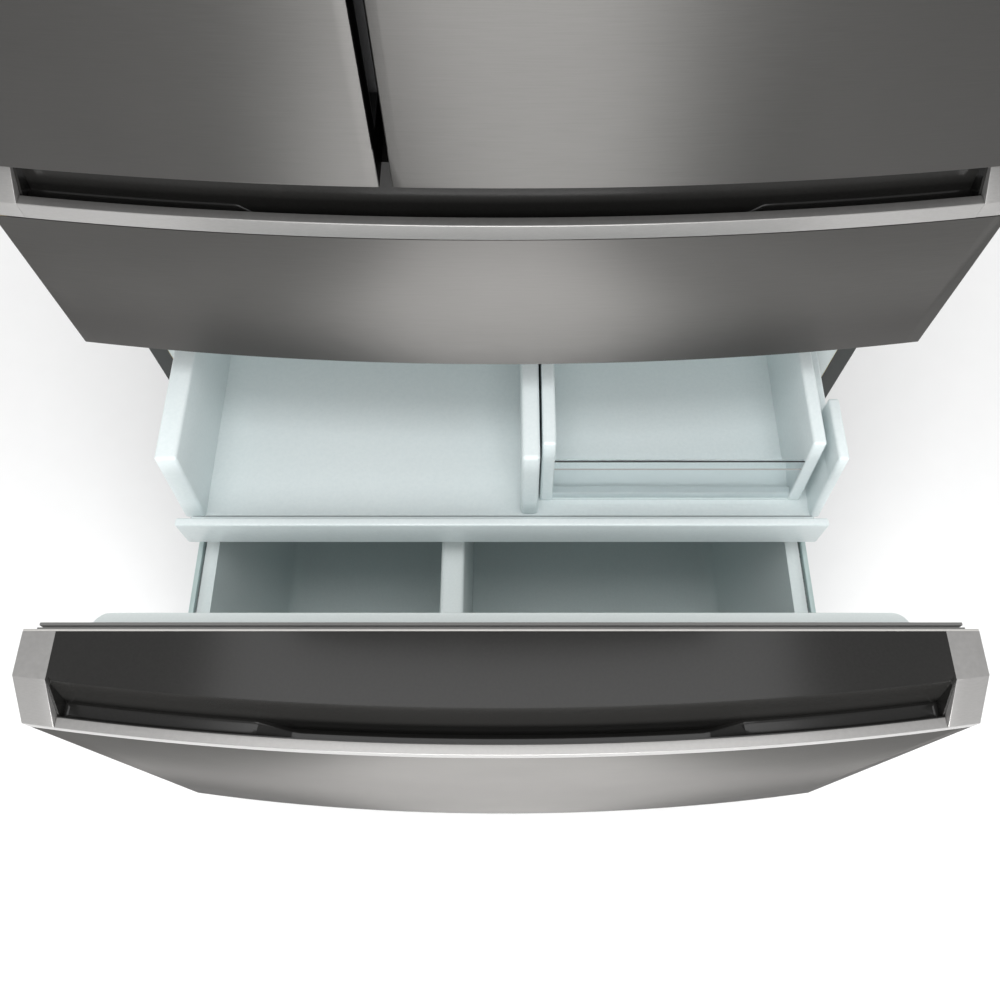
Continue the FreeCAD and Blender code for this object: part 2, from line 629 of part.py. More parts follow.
def crispers():
    z0 = FRESH_CAVITY[0] + CLEAR
    y1 = CRISPER_BACK
    spans = {"crisper_left": (-SHELF_HALF, -CRISPER_GAP), "crisper_right": (CRISPER_GAP, SHELF_HALF)}
    for name, (x0, x1) in spans.items():
        plates = tub(x0, x1, CRISPER_FRONT, y1, z0, z0 + CRISPER_HEIGHT, 3.0)
        pull = [(CRISPER_FRONT, z0 + CRISPER_HEIGHT), (CRISPER_FRONT - 16, z0 + CRISPER_HEIGHT)]
        pull += [(CRISPER_FRONT - 16, z0 + CRISPER_HEIGHT - 14), (CRISPER_FRONT, z0 + CRISPER_HEIGHT - 24)]
        plates.append(along_x(pull, x0 + 30, x1 - 30))
        save(name, *plates)


# ---------------------------------------------------------------- cold system in the freezer space
COVER_Y = CAVITY_BACK - 52.0
EVAPORATOR_Z = (STEP_TOP + 12.0, STEP_TOP + 150.0)
ICE_FAN = V(-190, CAVITY_BACK - 26, STEP_TOP + 215)
ICE_FAN_RADIUS = 48.0
MAKER_X = (70.0, 320.0)
MAKER_DEPTH = 76.0
MAKER_Z = FREEZER_CAVITY[1] - 104.0


def evaporator():
    """Finned coil behind the cover, standing on the step of the liner."""
    y0 = COVER_Y + 6
    y1 = CAVITY_BACK - 4
    z0, z1 = EVAPORATOR_Z
    fins = []
    count = 24
    for number in range(count):
        x = -330 + number * 660 / (count - 1)
        fins.append(box(x - 0.8, x + 0.8, y0, y1, z0, z1))
    for level in range(4):
        z = z0 + 20 + level * 32
        fins.append(rod(V(-345, (y0 + y1) / 2, z), V(345, (y0 + y1) / 2, z), 5))
    for x in (-345, 343):
        fins.append(box(x, x + 2, y0, y1, STEP_TOP, z1))
    motor = rod(V(ICE_FAN.x, CAVITY_BACK, ICE_FAN.z), V(ICE_FAN.x, CAVITY_BACK - 16, ICE_FAN.z), 18)
    shaft = rod(V(ICE_FAN.x, CAVITY_BACK - 16, ICE_FAN.z), V(ICE_FAN.x, CAVITY_BACK - 38, ICE_FAN.z), 3)
    save("evaporator", fused(*fins), fused(motor, shaft))


def evaporator_cover():
    half = CAVITY_HALF - 1
    cover = box(-half, half, COVER_Y, COVER_Y + 3, STEP_TOP, FREEZER_CAVITY[1])
    hole = rod(V(ICE_FAN.x, COVER_Y - 1, ICE_FAN.z), V(ICE_FAN.x, COVER_Y + 4, ICE_FAN.z), ICE_FAN_RADIUS)
    bars = []
    for number in range(-3, 4):
        z = ICE_FAN.z + number * 13
        bars.append(box(ICE_FAN.x - 50, ICE_FAN.x + 50, COVER_Y, COVER_Y + 3, z - 2, z + 2))
    save("evaporator_cover", fused(cover.cut(hole), *bars))
    save("freezer_fan", fan_blades(ICE_FAN - V(0, 2, 0), V(0, 1, 0), ICE_FAN_RADIUS - 4, 14.0))


def ice_maker():
    """Ice tray housing hung from the freezer roof, its mould open at the top."""
    y1 = COVER_Y - CLEAR
    y0 = y1 - MAKER_DEPTH
    x0, x1 = MAKER_X
    top = FREEZER_CAVITY[1]
    body = box(x0, x1, y0, y1, MAKER_Z, top - 34)
    mould = rod(V(x0 + 40, (y0 + y1) / 2, top - 34), V(x1 - 12, (y0 + y1) / 2, top - 34), 28)
    hangers = [box(x, x + 12, y0, y1, top - 34, top) for x in (x0, x1 - 12)]
    save("ice_maker", fused(body.cut(mould), *hangers))


# ---------------------------------------------------------------- drawer slides
SLIDE_FIXED = (CAVITY_HALF - 7.4, CAVITY_HALF)
SLIDE_MIDDLE = (CAVITY_HALF - 12.7, CAVITY_HALF - 7.7)
SLIDE_DRAWER = (CAVITY_HALF - 18.0, CAVITY_HALF - 13.0)
SLIDE_START = THROAT + 3.0
SLIDE_END = STEP_FRONT - 30.8
SLIDE_HEIGHT = 36.0
FREEZER_SLIDE = 300.0
MIDDLE_SLIDE = MIDDLE_CAVITY[0] + 34.0


def slide_bars(reach, z0, inset=0.0):
    bars = []
    for side in (-1, 1):
        x0, x1 = sorted((side * reach[0], side * reach[1]))
        bars.append(box(x0, x1, SLIDE_START, SLIDE_END, z0 + inset, z0 + SLIDE_HEIGHT - inset))
    return bars


def slides():
    save("fixed_slides", *slide_bars(SLIDE_FIXED, FREEZER_SLIDE), *slide_bars(SLIDE_FIXED, MIDDLE_SLIDE))
    save("freezer_slide_members", *slide_bars(SLIDE_MIDDLE, FREEZER_SLIDE, 4), shift=SLIDE * 0.5)
    save("middle_slide_members", *slide_bars(SLIDE_MIDDLE, MIDDLE_SLIDE, 4))


# ---------------------------------------------------------------- drawer fronts
PLUG_CLEAR = 8.0
PLUG_HALF = FRONT_HALF - PLUG_INSET
DRAWER_PLUG_HALF = FRONT_HALF - DRAWER_PLUG_INSET
GASKET_SEAT = 13.0


def plug_liner(x0, x1, z0, z1, plug_x, plug_z):
    """Plastic back of a door: a flat sheet with a hollow raised panel."""
    sheet = box(x0, x1, SKIN_BACK, DOOR_BACK, z0, z1)
    raised = rounded_box(plug_x[0], plug_x[1], SKIN_BACK, PLUG_BACK, plug_z[0], plug_z[1], PLUG_CORNER, True)
    hollow = box(plug_x[0] + PLUG_SHOULDER, plug_x[1] - PLUG_SHOULDER, SKIN_BACK - 1,
                 PLUG_BACK - LINER, plug_z[0] + LINER, plug_z[1] - LINER)
    return fused(sheet, raised).cut(hollow), hollow


def gasket(x0, x1, cavity):
    z0 = cavity[0] - LINER - GASKET_SEAT
    z1 = cavity[1] + LINER + GASKET_SEAT
    outer = box(x0, x1, DOOR_BACK, CASE_FRONT - CLEAR, z0, z1)
    inner = box(x0 + GASKET_WIDTH, x1 - GASKET_WIDTH, DOOR_BACK - 1, CASE_FRONT,
                z0 + GASKET_WIDTH, z1 - GASKET_WIDTH)
    return outer.cut(inner)


def deep_zone(spread, low, top):
    """Lower middle part of the grip pocket, with slanted ends."""
    a = POCKET_DEEP_HALF + spread
    b = POCKET_DEEP_HALF + POCKET_SLANT + spread
    return along_y([(-b, top), (-a, low), (a, low), (b, top)], FRONT_END - 2 * BOW, DOOR_BACK)


def drawer_front(name, z0, z1, cavity, shift):
    rim_top = z1 - BEVEL_DROP
    rim_foot = rim_top - RIM_HEIGHT
    skin_top = rim_foot - SEAM_LINE
    shallow = z1 - POCKET_DROP
    deep = z1 - POCKET_DEEP
    wall = POCKET_WALL
    rear = FRONT_THICK + 2 * BOW
    half = FRONT_HALF

    # stainless sheet: bowed face, folded round both sides and underneath
    room = slab(SHEET, z0 + SHEET, skin_top + 9, -half + SHEET, half - SHEET, DOOR_BACK)
    skin = slab(0, z0, skin_top, -half, half).cut(room)
    save(name + "_skin", skin, shift=shift)

    # silver end caps joined by the grip rim
    whole = [(SHEET, skin_top), (0, rim_foot), (0, rim_top), (BEVEL_DEPTH, z1), (rear, z1), (rear, skin_top)]
    bezel = fused(bowed(whole, -half, -CAP_EDGE, SKIN_BACK), bowed(whole, CAP_EDGE, half, SKIN_BACK))
    lip = [(SHEET, skin_top), (0, rim_foot), (0, rim_top - 3), (3, rim_top), (RIM_DEPTH - 3, rim_top)]
    lip += [(RIM_DEPTH, rim_top - 3), (RIM_DEPTH, skin_top)]
    bezel = fused(bezel, bowed(lip, -CAP_EDGE, CAP_EDGE, SKIN_BACK))
    save(name + "_bezel", bezel, shift=shift)

    # dark top panel and grip pocket in one moulding
    block = [(RIM_DEPTH, shallow - wall), (RIM_DEPTH, rim_top - 2), (RIM_DEPTH + wall, rim_top - 2)]
    block += [(BEVEL_DEPTH, z1), (rear, z1), (rear, z1 - wall), (BEVEL_DEPTH + wall, z1 - wall)]
    block += [(BEVEL_DEPTH + wall, shallow - wall)]
    solid = bowed(block, -CAP_EDGE, CAP_EDGE, SKIN_BACK)
    behind = BEVEL_DEPTH + wall
    well = [(RIM_DEPTH, deep - wall), (RIM_DEPTH, shallow), (behind, shallow), (behind, deep - wall)]
    well_block = bowed(well, -CAP_EDGE, CAP_EDGE, SKIN_BACK).common(deep_zone(wall, deep - wall, shallow))
    brow = BEVEL_DEPTH + POCKET_LEAN
    grip = [(RIM_DEPTH + wall, shallow), (RIM_DEPTH + wall, z1 + 1)]
    grip += [(brow, z1 + 1), (POCKET_SHALLOW_REAR, shallow)]
    side_room = bowed(grip, -CAP_EDGE + wall, CAP_EDGE - wall, SKIN_BACK)
    step = POCKET_SHALLOW_REAR + POCKET_LEAN
    low = [(RIM_DEPTH + wall, deep), (RIM_DEPTH + wall, shallow + 1)]
    low += [(step, shallow + 1), (POCKET_DEEP_REAR, deep)]
    deep_room = bowed(low, -CAP_EDGE, CAP_EDGE, SKIN_BACK).common(deep_zone(0, deep, shallow + 1))
    pocket = fused(solid, well_block).cut([side_room, deep_room])
    save(name + "_pocket", pocket, shift=shift)

    # plastic back with its raised panel, foam filling and gasket
    plug_z = (cavity[0] + PLUG_CLEAR, cavity[1] - PLUG_CLEAR)
    back, hollow = plug_liner(-half, half, z0, z1, (-DRAWER_PLUG_HALF, DRAWER_PLUG_HALF), plug_z)
    save(name + "_liner", back, shift=shift)
    body = slab(SHEET, z0 + SHEET, skin_top, -half + SHEET, half - SHEET)
    upper = [(behind, skin_top), (behind, z1 - wall), (rear, z1 - wall), (rear, skin_top)]
    body = fused(body, bowed(upper, -CAP_EDGE, CAP_EDGE, SKIN_BACK))
    filled_pocket = [(RIM_DEPTH, shallow - wall), (RIM_DEPTH, z1), (behind, z1), (behind, shallow - wall)]
    foam = body.cut([bowed(filled_pocket, -CAP_EDGE, CAP_EDGE, SKIN_BACK), well_block])
    plug_foam = hollow.common(box(-half, half, SKIN_BACK, 0, z0, z1))
    save(name + "_foam", fused(foam, plug_foam), shift=shift)
    edge = half - GASKET_INSET
    save(name + "_gasket", gasket(-edge, edge, cavity), shift=shift)


# ---------------------------------------------------------------- French doors
GRIP_DEPTH = 18.0
GRIP_FRONT = FRONT_END - 8.0
GRIP_BACK = FRONT_END + 34.0
GRIP_END = 40.0
BIN_DEPTH = 92.0
BIN_HEIGHT = 96.0
BIN_LEVELS = [CRISPER_SHELF + 20, CRISPER_SHELF + 200, CRISPER_SHELF + 385]


def french_door(side):
    x0, x1 = DOOR_SPANS[side]
    z0 = DOOR_BOTTOM
    z1 = DOOR_TOP
    seam_x, into = (x1, -1) if side == "left" else (x0, 1)
    hinge_x = -HINGE_X if side == "left" else HINGE_X
    socket = rod(V(hinge_x, HINGE_Y, z0 - 1), V(hinge_x, HINGE_Y, z0 + PIN_DEPTH + CLEAR), PIN + RUN)
    upper = rod(V(hinge_x, HINGE_Y, z1 - PIN_DEPTH - CLEAR), V(hinge_x, HINGE_Y, z1 + 1), PIN + RUN)

    # upright grip channel let into the edge beside the seam
    near, far = sorted((seam_x, seam_x + into * GRIP_DEPTH))
    channel = box(near, far, GRIP_FRONT, GRIP_BACK, z0 + GRIP_END, z1 - GRIP_END)
    wall = POCKET_WALL
    low, high = sorted((seam_x - into, seam_x + into * (GRIP_DEPTH - wall)))
    room = box(low, high, GRIP_FRONT + wall, GRIP_BACK - wall, z0 + GRIP_END + wall, z1 - GRIP_END - wall)
    save(side + "_door_grip", channel.cut(room))

    # stainless sheet folded round all four edges
    inside = slab(SHEET, z0 + SHEET, z1 - SHEET, x0 + SHEET, x1 - SHEET)
    past = slab(SHEET, z0 + SHEET, z1 - SHEET, x0 + SHEET, x1 - SHEET, DOOR_BACK)
    save(side + "_door_skin", slab(0, z0, z1, x0, x1).cut([past, channel, socket, upper]))

    # plastic back, foam and gasket
    plug_x = (-PLUG_HALF, x1 - PLUG_INSET) if side == "left" else (x0 + PLUG_INSET, PLUG_HALF)
    plug_z = (FRESH_CAVITY[0] + PLUG_CLEAR, FRESH_CAVITY[1] - PLUG_CLEAR)
    back, hollow = plug_liner(x0, x1, z0, z1, plug_x, plug_z)
    pieces = [back]
    if side == "left":
        for level, foot in ((plug_z[0] + 2, 1), (plug_z[1] - 2, -1)):
            z_low, z_high = sorted((level, level + foot * MULLION_TAB))
            tab = box(plug_x[1] - 6, MULLION_X + 4, MULLION_Y - 5, MULLION_Y + 5, z_low, z_high)
            start = V(MULLION_X, MULLION_Y, level + foot * 2)
            pin = rod(start, start + V(0, 0, foot * (MULLION_TAB + 12)), MULLION_PIN)
            pieces.append(fused(tab, pin))
        back = fused(*pieces)
    save(side + "_door_liner", back)
    plug_foam = hollow.common(box(x0, x1, SKIN_BACK, 0, z0, z1))
    save(side + "_door_foam", fused(inside.cut([channel, socket, upper]), plug_foam))
    if side == "left":
        save("left_door_gasket", gasket(x0 + GASKET_INSET, x1 - SEAM_INSET, FRESH_CAVITY))
    else:
        save("right_door_gasket", gasket(x0 + SEAM_INSET, x1 - GASKET_INSET, FRESH_CAVITY))

    # open bins clipped to the raised panel
    plates = []
    for level in BIN_LEVELS:
        end = PLUG_BACK + BIN_DEPTH
        plates += tub(plug_x[0] + 4, plug_x[1] - 4, PLUG_BACK, end, level, level + BIN_HEIGHT, 2.5)
    save(side + "_door_bins", *plates)


# ---------------------------------------------------------------- folding mullion on the left door
MULLION_X = DOOR_SPANS["left"][1] - 17.0
MULLION_Y = CASE_FRONT + 11.0
MULLION_THICK = 16.0
MULLION_LENGTH = 44.0
MULLION_TAB = 6.0
MULLION_PIN = 3.0


def flip_mullion():
    """Heated bar that closes the seam; it lies folded back beside the left door's panel."""
    z0 = FRESH_CAVITY[0] + PLUG_CLEAR + 2 + MULLION_TAB + CLEAR
    z1 = FRESH_CAVITY[1] - PLUG_CLEAR - 2 - MULLION_TAB - CLEAR
    x0 = MULLION_X - 5
    y0 = MULLION_Y - 4.5
    bar = rounded_box(x0, x0 + MULLION_THICK, y0, y0 + MULLION_LENGTH, z0, z1, 3)
    bore = PIN_DEPTH + 1
    low = rod(V(MULLION_X, MULLION_Y, z0 - 1), V(MULLION_X, MULLION_Y, z0 + bore), MULLION_PIN + RUN)
    high = rod(V(MULLION_X, MULLION_Y, z1 - bore), V(MULLION_X, MULLION_Y, z1 + 1), MULLION_PIN + RUN)
    save("flip_mullion", bar.cut([low, high]))


# ---------------------------------------------------------------- middle drawer basket
def middle_drawer_inside():
    z0 = MIDDLE_CAVITY[0] + 14
    z1 = MIDDLE_CAVITY[1] - 26
    y1 = PLUG_BACK + MIDDLE_BASKET_LENGTH
    half = MIDDLE_BASKET_HALF
    save("middle_basket", *tub(-half, half, PLUG_BACK, y1, z0, z1, BASKET_WALL))
    rails = slide_bars(SLIDE_DRAWER, MIDDLE_SLIDE)
    for side in (-1, 1):
        x0, x1 = sorted((side * half, side * SLIDE_DRAWER[0]))
        rails.append(box(x0, x1, PLUG_BACK, SLIDE_END, MIDDLE_SLIDE, MIDDLE_SLIDE + 3))
        x0, x1 = sorted((side * SLIDE_DRAWER[0], side * SLIDE_DRAWER[1]))
        rails.append(box(x0, x1, PLUG_BACK, SLIDE_START, MIDDLE_SLIDE, MIDDLE_SLIDE + SLIDE_HEIGHT))
    save("middle_drawer_rails", *rails)


# ---------------------------------------------------------------- freezer drawer basket and frame
FRAME_SHEET = 2.0
BASKET_LIP = 18.0
BASKET_INSET = 12.0
LEDGE_TOP = BASKET_RIM - 8.0
FRAME_OUTER = BASKET_HALF - 4.0
CARRIER_START = 150.0
TRAY_RAIL = TRAY_BOTTOM - CLEAR


def freezer_basket():
    y0 = PLUG_BACK + BASKET_INSET
    y1 = STEP_FRONT - BASKET_REAR_GAP
    top = BASKET_HALF - BASKET_LIP
    plates = tub(-top, top, y0, y1, BASKET_BOTTOM, LEDGE_TOP, BASKET_WALL, BASKET_TAPER)
    side_width = BASKET_LIP + BASKET_WALL
    plates += rim(-BASKET_HALF, BASKET_HALF, y0 - 8, y1 + 8, LEDGE_TOP, BASKET_RIM, 12.0, side_width)
    save("freezer_basket", *plates, shift=SLIDE)
    low = BASKET_BOTTOM + BASKET_WALL + CLEAR
    front = y0 + BASKET_WALL + CLEAR
    rear = y1 - BASKET_WALL - CLEAR
    near = DIVIDER_AT - DIVIDER / 2
    wall = rounded_box(near, near + DIVIDER, front, rear, low, BASKET_RIM - 2, 6)
    save("basket_divider", wall, shift=SLIDE)


def freezer_drawer_frame():
    """Steel side plates that carry the basket's rim and, further back, the upper tray."""
    pieces = slide_bars(SLIDE_DRAWER, FREEZER_SLIDE)
    y0 = PLUG_BACK
    end = SLIDE_END
    rise = y0 + CARRIER_START
    plate_in = FRAME_OUTER - FRAME_SHEET
    carrier_in = BASKET_HALF + CLEAR
    carrier_out = carrier_in + FRAME_SHEET

    def pair(x_in, x_out, front, z0, z1):
        for side in (-1, 1):
            x0, x1 = sorted((side * x_in, side * x_out))
            pieces.append(box(x0, x1, front, end, z0, z1))

    ledge = LEDGE_TOP - FRAME_SHEET
    pair(plate_in, FRAME_OUTER, y0, FREEZER_SLIDE, ledge)
    pair(FRAME_OUTER, SLIDE_DRAWER[0], y0, FREEZER_SLIDE, FREEZER_SLIDE + FRAME_SHEET)
    pair(plate_in - 8, FRAME_OUTER, y0, ledge, LEDGE_TOP)
    pair(FRAME_OUTER, carrier_out, rise, ledge - FRAME_SHEET, ledge)
    pair(carrier_in, carrier_out, rise, ledge, TRAY_RAIL - FRAME_SHEET)
    pair(carrier_in - 20, carrier_out, rise, TRAY_RAIL - FRAME_SHEET, TRAY_RAIL)
    for side in (-1, 1):
        x0, x1 = sorted((side * SLIDE_DRAWER[0], side * SLIDE_DRAWER[1]))
        pieces.append(box(x0, x1, y0, SLIDE_START, FREEZER_SLIDE, FREEZER_SLIDE + SLIDE_HEIGHT))
    save("freezer_drawer_frame", *pieces, shift=SLIDE)


# ---------------------------------------------------------------- upper tray and ice bin
def raked(front, rear, z0, z1, x0, x1):
    """Block whose front face leans back as it rises, by the rake of the tray."""
    slope = TRAY_RAKE / (TRAY_TOP - TRAY_BOTTOM)
    low = front + slope * (z0 - TRAY_BOTTOM)
    high = front + slope * (z1 - TRAY_BOTTOM)
    return along_x([(low, z0), (high, z1), (rear, z1), (rear, z0)], x0, x1)


def upper_tray():
    front = TRAY_FRONT
    rear = TRAY_FRONT + TRAY_LENGTH
    z0 = TRAY_BOTTOM
    z1 = TRAY_TOP
    floor = z0 + TRAY_FLOOR
    half = TRAY_HALF
    step_z = z1 - TRAY_STEP_DROP
    inner_left = -half + TRAY_WALL_LEFT
    inner_right = half - TRAY_WALL_RIGHT
    pieces = [raked(front, rear, z0, z1, -half, inner_left)]
    pieces.append(raked(front, rear, z0, step_z, inner_right, half))
    pieces.append(raked(front, front + TRAY_STEP, step_z, z1, inner_right, half))
    pieces.append(box(inner_left, inner_right, front, rear, z0, floor))
    pieces.append(box(inner_left, inner_right, rear - 4, rear, floor, step_z))
    pieces.append(raked(front + 2, rear - 4, floor, z1 - 2, SPLIT_LEFT, SPLIT_LEFT + SPLIT_WALL))
    lip_y = front - LIP_REACH
    pieces.append(box(-LIP_HALF, LIP_HALF, lip_y + LIP_DEPTH, front, z0, floor))
    profile = [(lip_y, z0), (lip_y, LIP_TOP - 8), (lip_y + 3, LIP_TOP), (lip_y + LIP_DEPTH, LIP_TOP - 2)]
    profile += [(lip_y + LIP_DEPTH, z0)]
    pieces.append(along_x(profile, -LIP_HALF, LIP_HALF))
    save("upper_tray", *pieces)


def ice_bin():
    front = TRAY_FRONT + 20
    rear = TRAY_FRONT + TRAY_LENGTH - 4 - 6
    x0 = SPLIT_LEFT + SPLIT_WALL + 3
    x1 = BIN_RIGHT
    z0 = TRAY_BOTTOM + TRAY_FLOOR
    z1 = TRAY_TOP - 2
    floor = z0 + 3
    wall = BIN_WALL
    pieces = [raked(front, rear, z0, z1, x0, x0 + wall), raked(front, rear, z0, z1, x1 - wall, x1)]
    pieces.append(box(x0 + wall, x1 - wall, front + 2, rear, z0, floor))
    pieces.append(box(x0 + wall, x1 - wall, rear - 4, rear, floor, z1))
    slope = TRAY_RAKE / (TRAY_TOP - TRAY_BOTTOM)
    low = front + 2 + slope * (floor - TRAY_BOTTOM)
    high = front + 2 + slope * (WINDOW_TOP - TRAY_BOTTOM)
    pane = [(low, floor), (high, WINDOW_TOP), (high + WINDOW, WINDOW_TOP), (low + WINDOW, floor)]
    pieces.append(along_x(pane, x0 + wall, x1 - wall))
    save("ice_bin", *pieces)


# ---------------------------------------------------------------- build
case_wrapper()
fresh_food_liner()
save("middle_liner", *liner_plates(*MIDDLE_CAVITY, stepped=False))
save("freezer_liner", *liner_plates(*FREEZER_CAVITY, stepped=True))
insulation()
cabinet_base()
rear_rollers()
leveling_legs()
toe_grille()
rear_panels()
cord_gland()
water_valve()
compressor()
condenser()
condenser_fan()
door_hinges()
hinge_covers()
shelves()
crispers()
evaporator()
evaporator_cover()
ice_maker()
slides()
french_door("left")
french_door("right")
flip_mullion()
drawer_front("middle_drawer", MIDDLE_BOTTOM, MIDDLE_TOP, MIDDLE_CAVITY, None)
middle_drawer_inside()
drawer_front("freezer_drawer", FREEZER_BOTTOM, FREEZER_TOP, FREEZER_CAVITY, SLIDE)
freezer_basket()
freezer_drawer_frame()
upper_tray()
ice_bin()
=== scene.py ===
import math
import bmesh
import bpy
from mathutils import Matrix, Vector


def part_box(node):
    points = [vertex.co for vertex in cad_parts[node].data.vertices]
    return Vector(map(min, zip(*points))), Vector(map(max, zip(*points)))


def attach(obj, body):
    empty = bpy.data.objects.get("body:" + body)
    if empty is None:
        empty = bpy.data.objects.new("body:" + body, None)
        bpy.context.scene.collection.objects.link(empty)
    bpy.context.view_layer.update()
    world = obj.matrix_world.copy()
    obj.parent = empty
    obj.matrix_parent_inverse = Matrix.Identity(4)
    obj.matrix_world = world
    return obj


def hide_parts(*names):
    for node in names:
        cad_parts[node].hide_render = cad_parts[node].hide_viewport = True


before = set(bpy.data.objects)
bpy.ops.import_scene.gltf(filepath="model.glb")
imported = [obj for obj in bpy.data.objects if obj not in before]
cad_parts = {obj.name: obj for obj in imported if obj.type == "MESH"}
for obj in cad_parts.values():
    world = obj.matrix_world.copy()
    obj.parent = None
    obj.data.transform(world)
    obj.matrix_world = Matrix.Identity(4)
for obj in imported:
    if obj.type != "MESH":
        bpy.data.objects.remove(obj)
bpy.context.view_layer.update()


# ------------------------------------------------------------------ outer case
# One sheet of painted steel folded over the top and down both sides. Its front
# edges turn in to make the flat face that the door gaskets close on. The paint
# has the fine pebble that hides finger marks.
CASE_SHEET = 0.0012
CASE_FOLD = 0.004


def finish(name, light, dark, roughness, cell, stretch=(1, 1, 1), relief=0.0001, metallic=0.0, coat=0.0):
    """A surface finish. Its colour and gloss drift over a noise pattern with the
    given cell in metres, and the same pattern raises a relief of that height."""
    material = bpy.data.materials.new(name)
    material.use_nodes = True
    nodes = material.node_tree.nodes
    links = material.node_tree.links
    shader = nodes["Principled BSDF"]
    shader.inputs["Metallic"].default_value = metallic
    shader.inputs["Coat Weight"].default_value = coat
    shader.inputs["Coat Roughness"].default_value = 0.12
    place = nodes.new("ShaderNodeTexCoord")
    mapping = nodes.new("ShaderNodeMapping")
    mapping.inputs["Scale"].default_value = [1 / (cell * axis) for axis in stretch]
    noise = nodes.new("ShaderNodeTexNoise")
    noise.inputs["Scale"].default_value = 1.0
    noise.inputs["Detail"].default_value = 3.0
    cloud = nodes.new("ShaderNodeTexNoise")
    cloud.inputs["Scale"].default_value = 7.0
    blend = nodes.new("ShaderNodeMath")
    blend.operation = "MULTIPLY_ADD"
    blend.inputs[1].default_value = 0.45
    ramp = nodes.new("ShaderNodeValToRGB")
    ramp.color_ramp.elements[0].position = 0.25
    ramp.color_ramp.elements[1].position = 1.0
    ramp.color_ramp.elements[0].color = (*dark, 1)
    ramp.color_ramp.elements[1].color = (*light, 1)
    gloss = nodes.new("ShaderNodeMapRange")
    gloss.inputs["To Min"].default_value = roughness * 0.88
    gloss.inputs["To Max"].default_value = roughness * 1.12
    bump = nodes.new("ShaderNodeBump")
    bump.inputs["Distance"].default_value = relief
    bump.inputs["Strength"].default_value = 0.5
    links.new(place.outputs["Object"], mapping.inputs["Vector"])
    links.new(mapping.outputs["Vector"], noise.inputs["Vector"])
    links.new(place.outputs["Object"], cloud.inputs["Vector"])
    links.new(cloud.outputs["Fac"], blend.inputs[0])
    links.new(noise.outputs["Fac"], blend.inputs[2])
    links.new(blend.outputs["Value"], ramp.inputs["Fac"])
    links.new(ramp.outputs["Color"], shader.inputs["Base Color"])
    links.new(noise.outputs["Fac"], gloss.inputs["Value"])
    links.new(gloss.outputs["Result"], shader.inputs["Roughness"])
    links.new(noise.outputs["Fac"], bump.inputs["Height"])
    links.new(bump.outputs["Normal"], shader.inputs["Normal"])
    return material


def block(low, high, bm=None):
    """A cuboid between two corners, added to bm or to a new mesh."""
    bm = bm or bmesh.new()
    low = Vector(low)
    high = Vector(high)
    matrix = Matrix.Translation((low + high) / 2) @ Matrix.Diagonal((*(high - low), 1))
    made = bmesh.ops.create_cube(bm, size=1, matrix=matrix)
    return bm, made["verts"]


def soften(bm, edges, width, segments=3, clamp=True):
    """Rounds edges over to that width."""
    bmesh.ops.bevel(bm, geom=edges, offset=width, offset_type="OFFSET", segments=segments,
                    profile=0.5, affect="EDGES", clamp_overlap=clamp, material=-1)


def piece(name, bm, body, slot, material, *nodes, smooth=32):
    """Makes a finished piece of a mesh. It rides on its body and stands for its nodes."""
    mesh = bpy.data.meshes.new(name)
    bm.to_mesh(mesh)
    bm.free()
    mesh.shade_smooth()
    mesh.set_sharp_from_angle(angle=math.radians(smooth))
    mesh.materials.append(material)
    obj = bpy.data.objects.new(name, mesh)
    bpy.context.scene.collection.objects.link(obj)
    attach(obj, body)
    if nodes:
        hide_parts(*nodes)
    return obj


def thicken(obj, wall):
    """Gives an open sheet its wall, on the side away from its face normals."""
    shell = obj.modifiers.new("wall", "SOLIDIFY")
    shell.thickness = wall
    shell.offset = -1
    shell.use_even_offset = True


case_paint = finish("case_paint", (0.034, 0.038, 0.037), (0.024, 0.027, 0.026), 0.42, 0.0011,
                    relief=0.00012)
case_paint.node_tree.nodes["Principled BSDF"].inputs["Specular IOR Level"].default_value = 0.25
case_low, case_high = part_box("case_wrapper")
shell, _ = block(case_low, case_high)
open_faces = [f for f in shell.faces if f.normal.z < -0.5 or abs(f.normal.y) > 0.5]
bmesh.ops.delete(shell, geom=open_faces, context="FACES_ONLY")
soften(shell, [e for e in shell.edges if len(e.link_faces) == 2], CASE_FOLD, 4)
wrapper = piece("case_shell", shell, "cabinet", "case_paint", case_paint)
thicken(wrapper, CASE_SHEET)

# ------------------------------------------------------------------ gasket face
# The turned-in front of the wrapper: two uprights and four cross rails of the
# same painted sheet, one above and one below each compartment.
FLANGE = 0.022
BASE_TOP = 0.046
inner_x = case_high.x - CASE_SHEET
opening_x = case_high.x - FLANGE
mouths = [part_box(name) for name in ("freezer_liner", "middle_liner", "fresh_food_liner")]
rail_edges = [BASE_TOP]
for mouth_low, mouth_high in mouths:
    rail_edges += [mouth_low.z, mouth_high.z]
rail_edges.append(case_high.z - CASE_SHEET)
face = bmesh.new()
front_y = case_low.y
for side in (-1, 1):
    near, far = sorted((side * inner_x, side * opening_x))
    block((near, front_y, rail_edges[0]), (far, front_y + CASE_SHEET, rail_edges[-1]), face)
for low_z, high_z in zip(rail_edges[::2], rail_edges[1::2]):
    block((-opening_x, front_y, low_z), (opening_x, front_y + CASE_SHEET, high_z), face)
piece("case_gasket_face", face, "cabinet", "case_paint", case_paint, "case_wrapper")

# ------------------------------------------------------------------ insulation
# Polyurethane foam blown in between the steel and the liners, straw yellow, with
# a fine open cell. It shows only with the case or a door taken apart.


def dress(material, *nodes):
    """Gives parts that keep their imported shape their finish."""
    for node in nodes:
        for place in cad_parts[node].material_slots:
            place.material = material


